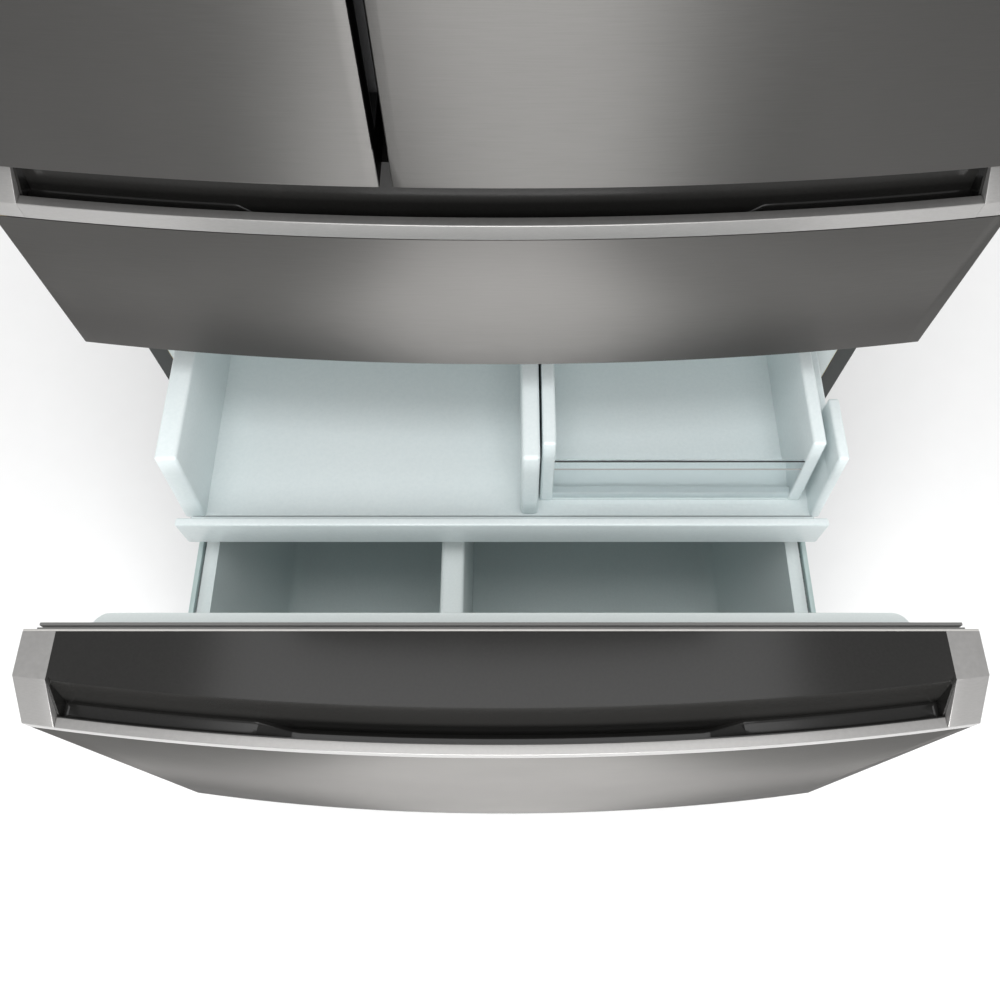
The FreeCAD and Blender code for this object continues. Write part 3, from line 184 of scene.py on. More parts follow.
foam = finish("blown_foam", (0.74, 0.62, 0.36), (0.58, 0.47, 0.25), 0.85, 0.0016, relief=0.0006)
dress(foam, "insulation", "left_door_foam", "right_door_foam", "middle_drawer_foam", "freezer_drawer_foam")

# ------------------------------------------------------------------ liners
# Vacuum-formed white plastic, one per compartment, drawn into the case with soft
# corners and a flare at the mouth. The freezer's steps up over the machinery.
LINER_WALL = 0.0025
LINER_FLARE = 0.025
LINER_TAPER = 0.0275
LINER_CORNER = 0.014
LIP_WIDTH = 0.008
LIP_SINK = 0.0003
FREEZER_STEP = (0.089, 0.327)
NEAR = 0.0001
liner_white = finish("liner_plastic", (0.785, 0.845, 0.84), (0.724, 0.79, 0.785), 0.32, 0.0022,
                     relief=0.00005)


def points_of(made):
    """The vertices among what an operator made."""
    return [v for v in made if isinstance(v, bmesh.types.BMVert)]


def open_edges_of(made):
    """The edges among what an operator made that border one face only."""
    return [e for e in made if isinstance(e, bmesh.types.BMEdge) and len(e.link_faces) == 1]


def sharp_edges(bm, angle=30, where=None):
    """Edges where two faces meet at more than the angle, at a place that passes where()."""
    found = []
    for edge in bm.edges:
        if len(edge.link_faces) == 2 and edge.calc_face_angle(0) > math.radians(angle):
            if where is None or where(*[v.co for v in edge.verts]):
                found.append(edge)
    return found


def drawn_out(outline, x0, x1):
    """A (y, z) outline drawn out from x0 to x1 into a closed bar."""
    bm = bmesh.new()
    end = bm.faces.new([bm.verts.new((x0, y, z)) for y, z in outline])
    grown = bmesh.ops.extrude_face_region(bm, geom=[end])["geom"]
    bmesh.ops.translate(bm, verts=points_of(grown), vec=(x1 - x0, 0, 0))
    bmesh.ops.recalc_face_normals(bm, faces=bm.faces)
    return bm


def formed_liner(node, step):
    """Inner face of a compartment, from the flared mouth to the rounded back."""
    low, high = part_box(node)
    mouth_half = case_high.x - FLANGE - LINER_WALL
    half = mouth_half - LINER_TAPER
    front = low.y + LINER_FLARE
    back = high.y - LINER_WALL
    floor = low.z + LINER_WALL
    roof = high.z - LINER_WALL
    foot = [(front, floor), (back, floor)]
    if step:
        foot = [(front, floor), (step[0], floor), (step[0], step[1]), (back, step[1])]
    bm = drawn_out(foot + [(back, roof), (front, roof)], -half, half)
    mouth = [f for f in bm.faces if f.calc_center_median().y < front + NEAR]
    bmesh.ops.delete(bm, geom=mouth, context="FACES")
    soften(bm, sharp_edges(bm, 30), LINER_CORNER, 4)
    flared = bmesh.ops.extrude_edge_only(bm, edges=open_edges_of(bm.edges))["geom"]
    for v in points_of(flared):
        v.co.y = low.y + LIP_SINK
        v.co.x *= mouth_half / half
    turned = bmesh.ops.extrude_edge_only(bm, edges=open_edges_of(flared))["geom"]
    for v in points_of(turned):
        if abs(v.co.x) > mouth_half - LINER_CORNER:
            v.co.x += math.copysign(LIP_WIDTH, v.co.x)
        if v.co.z < floor + LINER_CORNER or v.co.z > roof - LINER_CORNER:
            v.co.z += math.copysign(LIP_WIDTH, v.co.z - (floor + roof) / 2)
    bmesh.ops.recalc_face_normals(bm, faces=bm.faces)
    outward = sum(f.normal.y * f.calc_area() for f in bm.faces)
    if outward > 0:
        bmesh.ops.reverse_faces(bm, faces=bm.faces)
    return bm


for node in ("middle_liner", "fresh_food_liner", "freezer_liner"):
    step = FREEZER_STEP if node == "freezer_liner" else None
    lined = piece(node.replace("liner", "inner_liner"), formed_liner(node, step), "cabinet",
                  "liner_plastic", liner_white, node, smooth=50)
    thicken(lined, LINER_WALL)

# ------------------------------------------------------------------ base and feet
# Galvanised pan, bulkhead and roof of the machinery bay with the roller forks,
# two screw feet, and rubber-tyred wheels at the back.
zinc = finish("galvanised_steel", (0.52, 0.53, 0.535), (0.38, 0.39, 0.4), 0.4, 0.009,
              relief=0.00004, metallic=0.9)
tyre = finish("roller_rubber", (0.035, 0.035, 0.036), (0.022, 0.022, 0.023), 0.7, 0.0012, relief=0.0001)
bright_steel = finish("bright_steel", (0.6, 0.61, 0.62), (0.46, 0.47, 0.48), 0.28, 0.0012, (20, 1, 1),
                      relief=0.00002, metallic=1.0)
dress(zinc, "cabinet_base")
dress(tyre, "rear_rollers")
dress(bright_steel, "leveling_legs")

# ------------------------------------------------------------------ toe grille
# Black moulded louvre clipped across the front of the base, for the air drawn in
# under the case.


def softened(node, width, segments=2):
    """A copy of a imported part, its triangles joined into faces and its edges rounded."""
    bm = bmesh.new()
    bm.from_mesh(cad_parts[node].data)
    bmesh.ops.remove_doubles(bm, verts=bm.verts, dist=1e-6)
    bmesh.ops.dissolve_limit(bm, angle_limit=math.radians(1), verts=bm.verts, edges=bm.edges)
    soften(bm, sharp_edges(bm), width, segments)
    return bm


moulded_black = finish("black_moulding", (0.03, 0.03, 0.031), (0.016, 0.016, 0.017), 0.5, 0.0009,
                       relief=0.00012)
grille = softened("toe_grille", width=0.0006)
piece("toe_louvre", grille, "cabinet", "black_plastic", moulded_black, "toe_grille")

# ------------------------------------------------------------------ back
# Galvanised back sheet and, below it, the removable slotted cover of the
# machinery bay, with the grommet for the mains lead and the water valve's stub.
dress(zinc, "back_panels")
brass = finish("valve_brass", (0.62, 0.47, 0.22), (0.48, 0.35, 0.15), 0.3, 0.002,
               relief=0.00003, metallic=1.0)
grommet = softened("cord_gland", width=0.0008)
piece("cord_grommet", grommet, "cabinet", "black_plastic", moulded_black, "cord_gland")
valve = softened("water_valve", width=0.001)
piece("water_inlet_valve", valve, "cabinet", "zinc_steel", brass, "water_valve")

# ------------------------------------------------------------------ back seam and screws
# Pressed strip of the same sheet that laps the joint between the back and the
# slotted cover, and the zinc plated pan head screws that hold both to the case.
LAP_HEIGHT = 0.014
LAP_RISE = 0.0009
LAP_SINK = 0.0002
SCREW_RADIUS = 0.0048
SCREW_CROWN = 0.72
SOCKET_RING = 0.36
SCREW_RISE = 0.0022
SCREW_INSET = 0.012
BAY_SEAM = 0.275
SIDE_SCREWS = 6
COVER_SCREW = 0.16
panel_low, panel_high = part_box("back_panels")
lap, _ = block((panel_low.x, panel_high.y - LAP_SINK, BAY_SEAM - LAP_HEIGHT / 2),
               (panel_high.x, panel_high.y + LAP_RISE, BAY_SEAM + LAP_HEIGHT / 2))
soften(lap, sharp_edges(lap, where=lambda *ends: all(v.y > panel_high.y for v in ends)), LAP_RISE / 3, 2)
piece("back_seam_lap", lap, "cabinet", "zinc_steel", zinc)


def pan_head(bm, x, y, z):
    """A screw head with a round driver socket, standing on the sheet at y."""
    place = Matrix.Translation((x, y + (SCREW_RISE - LAP_SINK) / 2, z))
    made = bmesh.ops.create_cone(bm, cap_ends=True, segments=18, depth=SCREW_RISE + LAP_SINK,
                                 radius1=SCREW_RADIUS, radius2=SCREW_RADIUS * SCREW_CROWN,
                                 matrix=place @ Matrix.Rotation(-math.pi / 2, 4, "X"))
    top = max({f for v in made["verts"] for f in v.link_faces}, key=lambda f: f.calc_center_median().y)
    bmesh.ops.inset_individual(bm, faces=[top], thickness=SCREW_RADIUS * SOCKET_RING)
    bmesh.ops.translate(bm, verts=top.verts, vec=(0, -SCREW_RISE / 2, 0))


screws = bmesh.new()
edge_x = panel_high.x - SCREW_INSET
top_z = panel_high.z - SCREW_INSET
first_z = BAY_SEAM + 3 * SCREW_INSET
pitch = (top_z - first_z) / (SIDE_SCREWS - 1)
for side in (-1, 1):
    for z in [first_z + number * pitch for number in range(SIDE_SCREWS)]:
        pan_head(screws, side * edge_x, panel_high.y, z)
    for z in (panel_low.z + SCREW_INSET, COVER_SCREW):
        pan_head(screws, side * edge_x, panel_high.y, z)
    for share in (0.25, 0.75):
        pan_head(screws, side * share * edge_x, panel_high.y + LAP_RISE, BAY_SEAM)
    pan_head(screws, side * edge_x / 2, panel_high.y, top_z)
piece("back_screws", screws, "cabinet", "zinc_steel", bright_steel)

# ------------------------------------------------------------------ machinery bay
# Hermetic compressor on four rubber feet, in black machine paint, and the finned
# condenser with its fan ring, motor and five-bladed fan.
machine_black = finish("machine_paint", (0.03, 0.03, 0.032), (0.018, 0.018, 0.02), 0.3, 0.0016,
                       relief=0.00008, coat=0.3)
fins = finish("fin_aluminium", (0.72, 0.73, 0.74), (0.6, 0.61, 0.62), 0.35, 0.0012, (1, 1, 12),
              relief=0.00003, metallic=1.0)
dress(machine_black, "compressor")
dress(fins, "condenser", "evaporator")
dress(moulded_black, "condenser_fan")

# ------------------------------------------------------------------ door hinges
# Bent steel brackets with turned pins, bolted to the case top and the middle
# rail, and the moulded cover over each upper bracket.
dress(bright_steel, "door_hinges")
covers = softened("hinge_covers", width=0.003, segments=3)
piece("hinge_covers_moulded", covers, "cabinet", "black_plastic", moulded_black, "hinge_covers")

# ------------------------------------------------------------------ shelves and crispers
# Tempered glass shelves in white frames that rest on ribs of the liner, and two
# clear moulded crisper boxes with a finger pull along the front.
BOX_WALL = 0.003
BOX_CORNER = 0.016
END_TAPER = 0.6
PULL_REACH = 0.016
PULL_END = 0.03
PULL_HEIGHT = 0.014
PULL_ROOT = 0.024
PULL_ROUND = 0.003


def see_through(name, tint, roughness, cell, clarity):
    """Clear plastic or glass. A fine ripple keeps its gloss from being dead flat."""
    material = finish(name, tint, [c * 0.93 for c in tint], roughness, cell, relief=0.00002)
    shader = material.node_tree.nodes["Principled BSDF"]
    shader.inputs["Transmission Weight"].default_value = clarity
    shader.inputs["IOR"].default_value = 1.45
    return material


shelf_white = finish("white_moulding", (0.78, 0.8, 0.82), (0.7, 0.72, 0.74), 0.38, 0.0016, relief=0.00006)
pane = see_through("shelf_glass", (0.86, 0.95, 0.93), 0.05, 0.02, 0.92)
clear = see_through("clear_plastic", (0.88, 0.95, 0.96), 0.08, 0.012, 0.85)
dress(pane, "shelf_glass")
frames = softened("shelf_frames", width=0.0015)
piece("shelf_frame_mouldings", frames, "cabinet", "white_plastic", shelf_white, "shelf_frames")


def moulded_box(low, high, taper, corner, bm=None):
    """Outer face of an open box with leaning sides and rounded corners."""
    bm, verts = block(low, high, bm)
    faces = {f for v in verts for f in v.link_faces}
    bmesh.ops.delete(bm, geom=[f for f in faces if f.normal.z > 0.5], context="FACES_ONLY")
    middle = (Vector(low) + Vector(high)) / 2
    for v in verts:
        if v.co.z < low[2] + 1e-5:
            v.co.x += math.copysign(taper, middle.x - v.co.x)
            v.co.y += math.copysign(taper * END_TAPER, middle.y - v.co.y)
    folds = [e for e in bm.edges if e.verts[0] in verts and len(e.link_faces) == 2]
    soften(bm, folds, corner, 5)
    return bm


for side in ("left", "right"):
    node = "crisper_" + side
    low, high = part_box(node)
    front = low.y + PULL_REACH
    drawer = moulded_box((low.x, front, low.z), high, 0.0, BOX_CORNER)
    box_piece = piece(node + "_box", drawer, node, "clear_plastic", clear, node)
    thicken(box_piece, BOX_WALL)
    pull = [(front, high.z), (low.y, high.z), (low.y, high.z - PULL_HEIGHT), (front, high.z - PULL_ROOT)]
    handle = drawn_out(pull, low.x + PULL_END, high.x - PULL_END)
    soften(handle, sharp_edges(handle, 20), PULL_ROUND, 3)
    piece(node + "_pull", handle, node, "white_plastic", shelf_white)

# ------------------------------------------------------------------ cold system
# The evaporator stands behind a white louvred cover with the fan in its opening,
# and the ice maker hangs from the freezer roof.
dress(shelf_white, "evaporator_cover", "ice_maker")
dress(moulded_black, "freezer_fan")

# ------------------------------------------------------------------ slides
# Three-part telescopic slides in zinc-plated steel: one fixed to the liner, one
# between, and one on the drawer.
dress(bright_steel, "fixed_slides", "middle_slide_members", "freezer_slide_members",
      "middle_drawer_rails", "freezer_drawer_frame")

# ------------------------------------------------------------------ stainless fronts
# Thin stainless sheet, brushed across, bowed about one upright axis through both
# doors and both drawers, and folded back round every edge.
BOW = 0.0294
BOW_STEPS = 64
FRONT_SHEET = 0.0012
FRONT_FOLD = 0.0022
door_low, door_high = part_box("right_door_skin")
front_half = door_high.x
bow_radius = (front_half ** 2 + BOW ** 2) / (2 * BOW)
bow_axis = door_low.y + bow_radius
skin_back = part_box("middle_drawer_skin")[1].y
drawer_shift = {"middle_drawer": 0.0,
                "freezer_drawer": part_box("freezer_drawer_skin")[1].y - skin_back}
REACH = 0.1408


def split(bm, point, normal, geometry=None, clear=False):
    """Cuts the mesh along a plane, or only the geometry given, and may take away
    what lies on the side that the normal points to. Gives the edges of the cut."""
    geometry = geometry or bm.verts[:] + bm.edges[:] + bm.faces[:]
    cut = bmesh.ops.bisect_plane(bm, geom=geometry, dist=1e-7, plane_co=point, plane_no=normal,
                                 clear_outer=clear)
    return [e for e in cut["geom_cut"] if isinstance(e, bmesh.types.BMEdge)]


def bowed(outline, x0, x1, back=skin_back):
    """A (depth, height) outline swept about the bow axis, then cut flat and closed
    at both ends and at the back. Depth runs back from the bowed face."""
    bm = bmesh.new()
    turn = math.asin(1.1 * front_half / bow_radius)
    points = [bm.verts.new((0, bow_axis - bow_radius + depth, z)) for depth, z in outline]
    loop = [bm.edges.new(pair) for pair in zip(points, points[1:] + points[:1])]
    bmesh.ops.rotate(bm, verts=points, cent=(0, bow_axis, 0), matrix=Matrix.Rotation(-turn, 3, "Z"))
    bmesh.ops.spin(bm, geom=points + loop, cent=(0, bow_axis, 0), axis=(0, 0, 1), angle=2 * turn,
                   steps=BOW_STEPS)
    for point, outward in (((x0, 0, 0), (-1, 0, 0)), ((x1, 0, 0), (1, 0, 0)), ((0, back, 0), (0, 1, 0))):
        rims = split(bm, point, outward, clear=True)
        if rims:
            bmesh.ops.holes_fill(bm, edges=rims)
    bmesh.ops.recalc_face_normals(bm, faces=bm.faces)
    return bm


stainless = finish("brushed_stainless", (0.125, 0.122, 0.118), (0.098, 0.0957, 0.0925), 0.5, 0.0005,
                   (60, 60, 1), relief=0.00001, metallic=1.0)
grain = stainless.node_tree.nodes.new("ShaderNodeTangent")
grain.direction_type = "RADIAL"
grain.axis = "Z"
brushed = stainless.node_tree.nodes["Principled BSDF"]
brushed.inputs["Anisotropic"].default_value = 0.95
brushed.inputs["Anisotropic Rotation"].default_value = 0.25
stainless.node_tree.links.new(grain.outputs["Tangent"], brushed.inputs["Tangent"])
for name in ("middle_drawer", "freezer_drawer"):
    low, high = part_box(name + "_skin")
    under_top = high.z - NEAR
    sheet = bowed([(0, low.z), (0, high.z), (REACH, high.z), (REACH, low.z)], -front_half, front_half)
    folds = sharp_edges(sheet, 40, lambda a, b: max(a.z, b.z) < under_top or abs(a.z - b.z) > 0.01)
    soften(sheet, folds, FRONT_FOLD)
    lid = [f for f in sheet.faces if f.normal.z > 0.9 and f.calc_center_median().z > under_top]
    open_back = [f for f in sheet.faces if f.normal.y > 0.9]
    bmesh.ops.delete(sheet, geom=lid + open_back, context="FACES")
    bmesh.ops.translate(sheet, verts=sheet.verts, vec=(0, drawer_shift[name], 0))
    front = piece(name + "_stainless", sheet, name, "stainless_face", stainless, name + "_skin")
    thicken(front, FRONT_SHEET)

# ------------------------------------------------------------------ upper doors
# The same brushed sheet folded over each door. The edge at the seam is pressed in
# along most of its height, and the black grip moulding is let into the channel.
GRIP_DEPTH = 0.018


def seam_geometry(bm, seam_x):
    """The faces on a door's seam side, with their edges and points."""
    found = {}
    for f in bm.faces:
        if abs(f.calc_center_median().x - seam_x) < NEAR:
            for part in (f, *f.edges, *f.verts):
                found[part] = True
    return list(found)


def beside_grip(place, seam_x, grip_low, grip_high):
    """Whether a place on the seam side lies within the grip's height and depth."""
    level = grip_low.z < place.z < grip_high.z and grip_low.y < place.y < grip_high.y
    return level and abs(place.x - seam_x) < NEAR


for side in ("left", "right"):
    node = side + "_door_skin"
    low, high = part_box(node)
    grip_low, grip_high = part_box(side + "_door_grip")
    door = bowed([(0, low.z), (0, high.z), (REACH, high.z), (REACH, low.z)], low.x, high.x)
    seam_x, inward = (high.x, -GRIP_DEPTH) if side == "left" else (low.x, GRIP_DEPTH)
    for normal in ((0, 0, 1), (0, 1, 0)):
        for point in (grip_low, grip_high):
            split(door, point, normal, seam_geometry(door, seam_x))
    channel = [f for f in door.faces if beside_grip(f.calc_center_median(), seam_x, grip_low, grip_high)]
    sunk = bmesh.ops.extrude_face_region(door, geom=channel)["geom"]
    bmesh.ops.delete(door, geom=channel, context="FACES")
    bmesh.ops.translate(door, verts=points_of(sunk), vec=(inward, 0, 0))
    folds = []
    for edge in sharp_edges(door, 40):
        a, b = [v.co for v in edge.verts]
        at_seam = max(abs(a.x - seam_x), abs(b.x - seam_x)) <= 1e-5
        at_grip = min(a.z, b.z) > grip_low.z - NEAR and max(a.z, b.z) < grip_high.z + NEAR
        if max(a.y, b.y) < skin_back - NEAR and not (at_seam and at_grip):
            folds.append(edge)
    soften(door, folds, FRONT_FOLD)
    piece(side + "_door_stainless", door, side + "_door", "stainless_face", stainless, node)
    dress(moulded_black, side + "_door_grip")

# ------------------------------------------------------------------ caps and rims
# Each drawer's silver moulding: an end cap at either side, folded from the flat
# top down to the bowed face, and the rounded grip rim that joins the two.
CAP_WIDTH = 0.0315
BEVEL_DEPTH = 0.0366
BEVEL_DROP = 0.035
RIM_HEIGHT = 0.017
RIM_DEPTH = 0.010
RIM_ROUND = 0.0032
CAP_FOLD = 0.0007
silver = finish("silver_moulding", (0.29, 0.285, 0.279), (0.245, 0.241, 0.236), 0.34, 0.0006, (8, 8, 1),
                relief=0.000015, metallic=0.55, coat=0.15)
cap_edge = front_half - CAP_WIDTH


def join(bm, other):
    """Adds the shape of another mesh to bm."""
    spare = bpy.data.meshes.new("spare")
    other.to_mesh(spare)
    other.free()
    bm.from_mesh(spare)
    bpy.data.meshes.remove(spare)


for name in ("middle_drawer", "freezer_drawer"):
    low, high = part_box(name + "_bezel")
    top = high.z
    rim_top = top - BEVEL_DROP
    rim_foot = rim_top - RIM_HEIGHT
    section = [(FRONT_SHEET, low.z), (0, rim_foot), (0, rim_top), (BEVEL_DEPTH, top), (REACH, top),
               (REACH, low.z)]
    moulding = bmesh.new()
    for x0, x1 in ((-front_half, -cap_edge), (cap_edge, front_half)):
        cap = bowed(section, x0, x1)
        folds = sharp_edges(cap, 25, lambda a, b: min(a.z, b.z) > rim_foot - NEAR
                            and max(a.y, b.y) < skin_back - NEAR)
        soften(cap, folds, CAP_FOLD)
        join(moulding, cap)
    lip = [(FRONT_SHEET, low.z), (0, rim_foot), (0, rim_top), (RIM_DEPTH, rim_top), (RIM_DEPTH, low.z)]
    rim = bowed(lip, -cap_edge, cap_edge)
    soften(rim, sharp_edges(rim, 60, lambda a, b: min(a.z, b.z) > rim_top - NEAR), RIM_ROUND, 5)
    join(moulding, rim)
    bmesh.ops.translate(moulding, verts=moulding.verts, vec=(0, drawer_shift[name], 0))
    piece(name + "_caps_and_rim", moulding, name, "silver_trim", silver, name + "_bezel")

# ------------------------------------------------------------------ grip pockets
# The dark gloss moulding behind the rim: the flat top panel and, let into its
# front, the finger pocket, which drops deeper in the middle with slanted ends.
POCKET_WALL = 0.0025
POCKET_DROP = 0.046
POCKET_DEEP = 0.062
POCKET_DEEP_HALF = 0.200
POCKET_SLANT = 0.034
POCKET_LEAN = 0.23
POCKET_LIP = 0.001
POCKET_SILL = 0.002
POCKET_BROW = 0.0065
POCKET_ROUND = 0.0035
pocket_front = RIM_DEPTH + POCKET_LIP
pocket_end = cap_edge - POCKET_WALL
pocket_black = finish("gloss_black_moulding", (0.018, 0.0176, 0.0168), (0.013, 0.0128, 0.0122), 0.15,
                      0.0025, relief=0.00002)
pocket_black.node_tree.nodes["Principled BSDF"].inputs["Specular IOR Level"].default_value = 0.24


def depth_of(v):
    """How far a point lies behind the bowed face."""
    return bow_radius - math.hypot(v.x, v.y - bow_axis)


def floor_drop(x):
    """How far the pocket floor lies below the top panel at that place."""
    slope = (abs(x) - POCKET_DEEP_HALF) / POCKET_SLANT
    return POCKET_DEEP + (POCKET_DROP - POCKET_DEEP) * min(max(slope, 0), 1)


def sink(v, top):
    """Drops a point of the mouth to the pocket floor, along the leaning rear wall."""
    drop = floor_drop(v.co.x)
    v.co.z = top - drop
    if depth_of(v.co) > BEVEL_DEPTH / 2:
        radius = bow_radius - BEVEL_DEPTH + POCKET_LEAN * drop
        v.co.y = bow_axis - math.sqrt(radius ** 2 - v.co.x ** 2)


def in_pocket(*places):
    """Whether all the places lie in the finger pocket or on its edge."""
    for v in places:
        if not pocket_front - NEAR < depth_of(v) < BEVEL_DEPTH + NEAR:
            return False
        if abs(v.x) > pocket_end + NEAR:
            return False
    return True


for name in ("middle_drawer", "freezer_drawer"):
    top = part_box(name + "_pocket")[1].z
    rim_top = top - BEVEL_DROP
    foot = top - POCKET_DEEP - POCKET_WALL
    sill = rim_top - POCKET_SILL
    rear_wall = BEVEL_DEPTH + POCKET_WALL
    moulding = bowed([(RIM_DEPTH, foot), (RIM_DEPTH, sill), (pocket_front, sill), (BEVEL_DEPTH, top),
                      (REACH, top), (REACH, top - POCKET_WALL), (rear_wall, top - POCKET_WALL),
                      (rear_wall, foot)], -cap_edge, cap_edge)
    for at in (pocket_end, POCKET_DEEP_HALF + POCKET_SLANT, POCKET_DEEP_HALF):
        for side in (-1, 1):
            split(moulding, (side * at, 0, 0), (1, 0, 0))
    mouth = []
    for f in moulding.faces:
        middle = f.calc_center_median()
        if rim_top < middle.z < top - NEAR and f.normal.z > 0.3 and in_pocket(middle):
            mouth.append(f)
    sunk = bmesh.ops.extrude_face_region(moulding, geom=mouth)["geom"]
    bmesh.ops.delete(moulding, geom=mouth, context="FACES")
    for v in points_of(sunk):
        sink(v, top)
    for v in moulding.verts:
        if abs(v.co.z - foot) < 1e-6:
            v.co.z = top - floor_drop(v.co.x) - POCKET_WALL
    brow = sharp_edges(moulding, 12, lambda a, b: in_pocket(a, b) and min(a.z, b.z) > top - NEAR)
    soften(moulding, brow, POCKET_BROW, 5, clamp=False)
    folds = sharp_edges(moulding, 20, lambda a, b: in_pocket(a, b)
                        and max(a.z, b.z) < top - POCKET_DROP + NEAR)
    soften(moulding, folds, POCKET_ROUND, 4, clamp=False)
    bmesh.ops.translate(moulding, verts=moulding.verts, vec=(0, drawer_shift[name], 0))
    piece(name + "_grip_pocket", moulding, name, "dark_trim", pocket_black, name + "_pocket", smooth=40)

# ------------------------------------------------------------------ door and drawer backs
# White formed sheet that closes the back of each front, with a raised panel that
# stands into the compartment and keeps the cold off the gasket. The sheet is the same
# white plastic as the panel, coloured grey as painted shade.
PLUG_INSET = {"left_door": 0.066, "right_door": 0.066, "middle_drawer": 0.050, "freezer_drawer": 0.050}
PLUG_DEPTH = 0.0245
PLUG_CORNER = 0.018
PLUG_ROUND = 0.006
PLUG_CLEAR = 0.008
PLUG_SINK = 0.0005
BACK_SHEET = 0.0025
BACK_FOLD = 0.0006
REST_INSET = 0.002
REST_CLEAR = 0.0003
REST_TUCK = 0.006
REST_REACH = 0.009
REST_DEPTH = 0.0095
# The white liner plastic darkened to grey: painted shade, on the back sheets and the window rib.
painted_shade_grey = finish("painted_shade_plastic", (0.47, 0.46, 0.44), (0.41, 0.40, 0.385), 0.45, 0.003,
                    relief=0.00004)
sheet_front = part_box("middle_drawer_liner")[0].y
sheet_back = sheet_front + BACK_SHEET
cavities = {"freezer_drawer": mouths[0], "middle_drawer": mouths[1],
            "left_door": mouths[2], "right_door": mouths[2]}
for name in ("left_door", "right_door", "middle_drawer", "freezer_drawer"):
    low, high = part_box(name + "_liner")
    shift = drawer_shift.get(name, 0.0)
    cavity = cavities[name]
    plug_low = cavity[0].z + LINER_WALL + PLUG_CLEAR
    plug_high = cavity[1].z - LINER_WALL - PLUG_CLEAR
    x0 = max(low.x, -front_half)
    x1 = min(high.x, front_half)
    if name == "left_door":
        x1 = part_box("left_door_skin")[1].x
    back, _ = block((x0, sheet_front, low.z), (x1, sheet_back, high.z))
    soften(back, sharp_edges(back), BACK_FOLD, 2)
    bmesh.ops.translate(back, verts=back.verts, vec=(0, shift, 0))
    piece(name + "_back_sheet", back, name, "liner_plastic", painted_shade_grey, name + "_liner")
    inset = PLUG_INSET[name]
    crown = sheet_back + PLUG_DEPTH
    plug, _ = block((x0 + inset, sheet_back - PLUG_SINK, plug_low), (x1 - inset, crown, plug_high))
    corners = sharp_edges(plug, 30, lambda a, b: abs(a.z - b.z) > 0.1 and a.y > crown - NEAR)
    soften(plug, corners, PLUG_CORNER, 6)
    shoulders = sharp_edges(plug, 60, lambda a, b: abs(a.z - b.z) < NEAR and a.y > sheet_back)
    soften(plug, shoulders, PLUG_ROUND, 4)
    if name == "left_door":
        bar_low, bar_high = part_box("flip_mullion")
        for z0, z1 in ((plug_low + REST_INSET, bar_low.z - REST_CLEAR),
                       (bar_high.z + REST_CLEAR, plug_high - REST_INSET)):
            block((x1 - inset - REST_TUCK, bar_low.y, z0),
                  (bar_low.x + REST_REACH, bar_low.y + REST_DEPTH, z1), plug)
    bmesh.ops.translate(plug, verts=plug.verts, vec=(0, shift, 0))
    piece(name + "_inner_panel", plug, name, "liner_plastic", liner_white, name + "_liner")

# ------------------------------------------------------------------ gaskets
# Soft grey extrusion welded into a frame: a wide foot held on the liner, a
# narrower bellows, and the bulb that holds the magnet against the case.
gasket_grey = finish("gasket_rubber", (0.16, 0.16, 0.155), (0.13, 0.13, 0.127), 0.6, 0.0008, relief=0.00005)
GASKET_SECTION = [(0.0, 0.0), (0.0, 0.0022), (0.0034, 0.0031), (0.0034, 0.0038), (0.001, 0.0046),
                  (0.001, 0.0072), (0.0018, 0.0077), (0.0182, 0.0077), (0.019, 0.0072), (0.019, 0.0046),
                  (0.0166, 0.0038), (0.0166, 0.0031), (0.02, 0.0022), (0.02, 0.0)]
for name in ("left_door", "right_door", "middle_drawer", "freezer_drawer"):
    low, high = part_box(name + "_gasket")
    seal = bmesh.new()
    loops = []
    for sx, sz in ((-1, -1), (1, -1), (1, 1), (-1, 1)):
        ring = []
        for inset, lift in GASKET_SECTION:
            x = (low.x if sx < 0 else high.x) - sx * inset
            z = (low.z if sz < 0 else high.z) - sz * inset
            ring.append(seal.verts.new((x, low.y + lift, z)))
        loops.append([seal.edges.new(pair) for pair in zip(ring, ring[1:] + ring[:1])])
    for here, there in zip(loops, loops[1:] + loops[:1]):
        bmesh.ops.bridge_loops(seal, edges=here + there)
    bmesh.ops.recalc_face_normals(seal, faces=seal.faces)
    piece(name + "_door_seal" if name.endswith("drawer") else name + "_seal", seal, name, "gasket_rubber",
          gasket_grey, name + "_gasket", smooth=25)

# ------------------------------------------------------------------ door bins
# Clear moulded bins with rounded corners and open tops, clipped to the raised
# panels of the doors at three levels.
DOOR_BIN_WALL = 0.0025
DOOR_BIN_HEIGHT = 0.096
DOOR_BIN_CORNER = 0.014
DOOR_BIN_LIFTS = (0.0, 0.180, 0.365)
for side in ("left", "right"):
    node = side + "_door_bins"
    low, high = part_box(node)
    bins = bmesh.new()
    for lift in DOOR_BIN_LIFTS:
        foot = low.z + lift
        moulded_box((low.x, low.y, foot), (high.x, high.y, foot + DOOR_BIN_HEIGHT), 0.0,
                    DOOR_BIN_CORNER, bins)
    held = piece(side + "_door_clear_bins", bins, side + "_door", "clear_plastic", clear, node)
    thicken(held, DOOR_BIN_WALL)

# ------------------------------------------------------------------ folding mullion
# Grey bar with rounded corners, pinned to the left door, that turns out to close
# the seam between the two doors.
mullion = softened("flip_mullion", width=0.0008)
piece("mullion_bar", mullion, "flip_mullion", "gasket_rubber", gasket_grey, "flip_mullion")

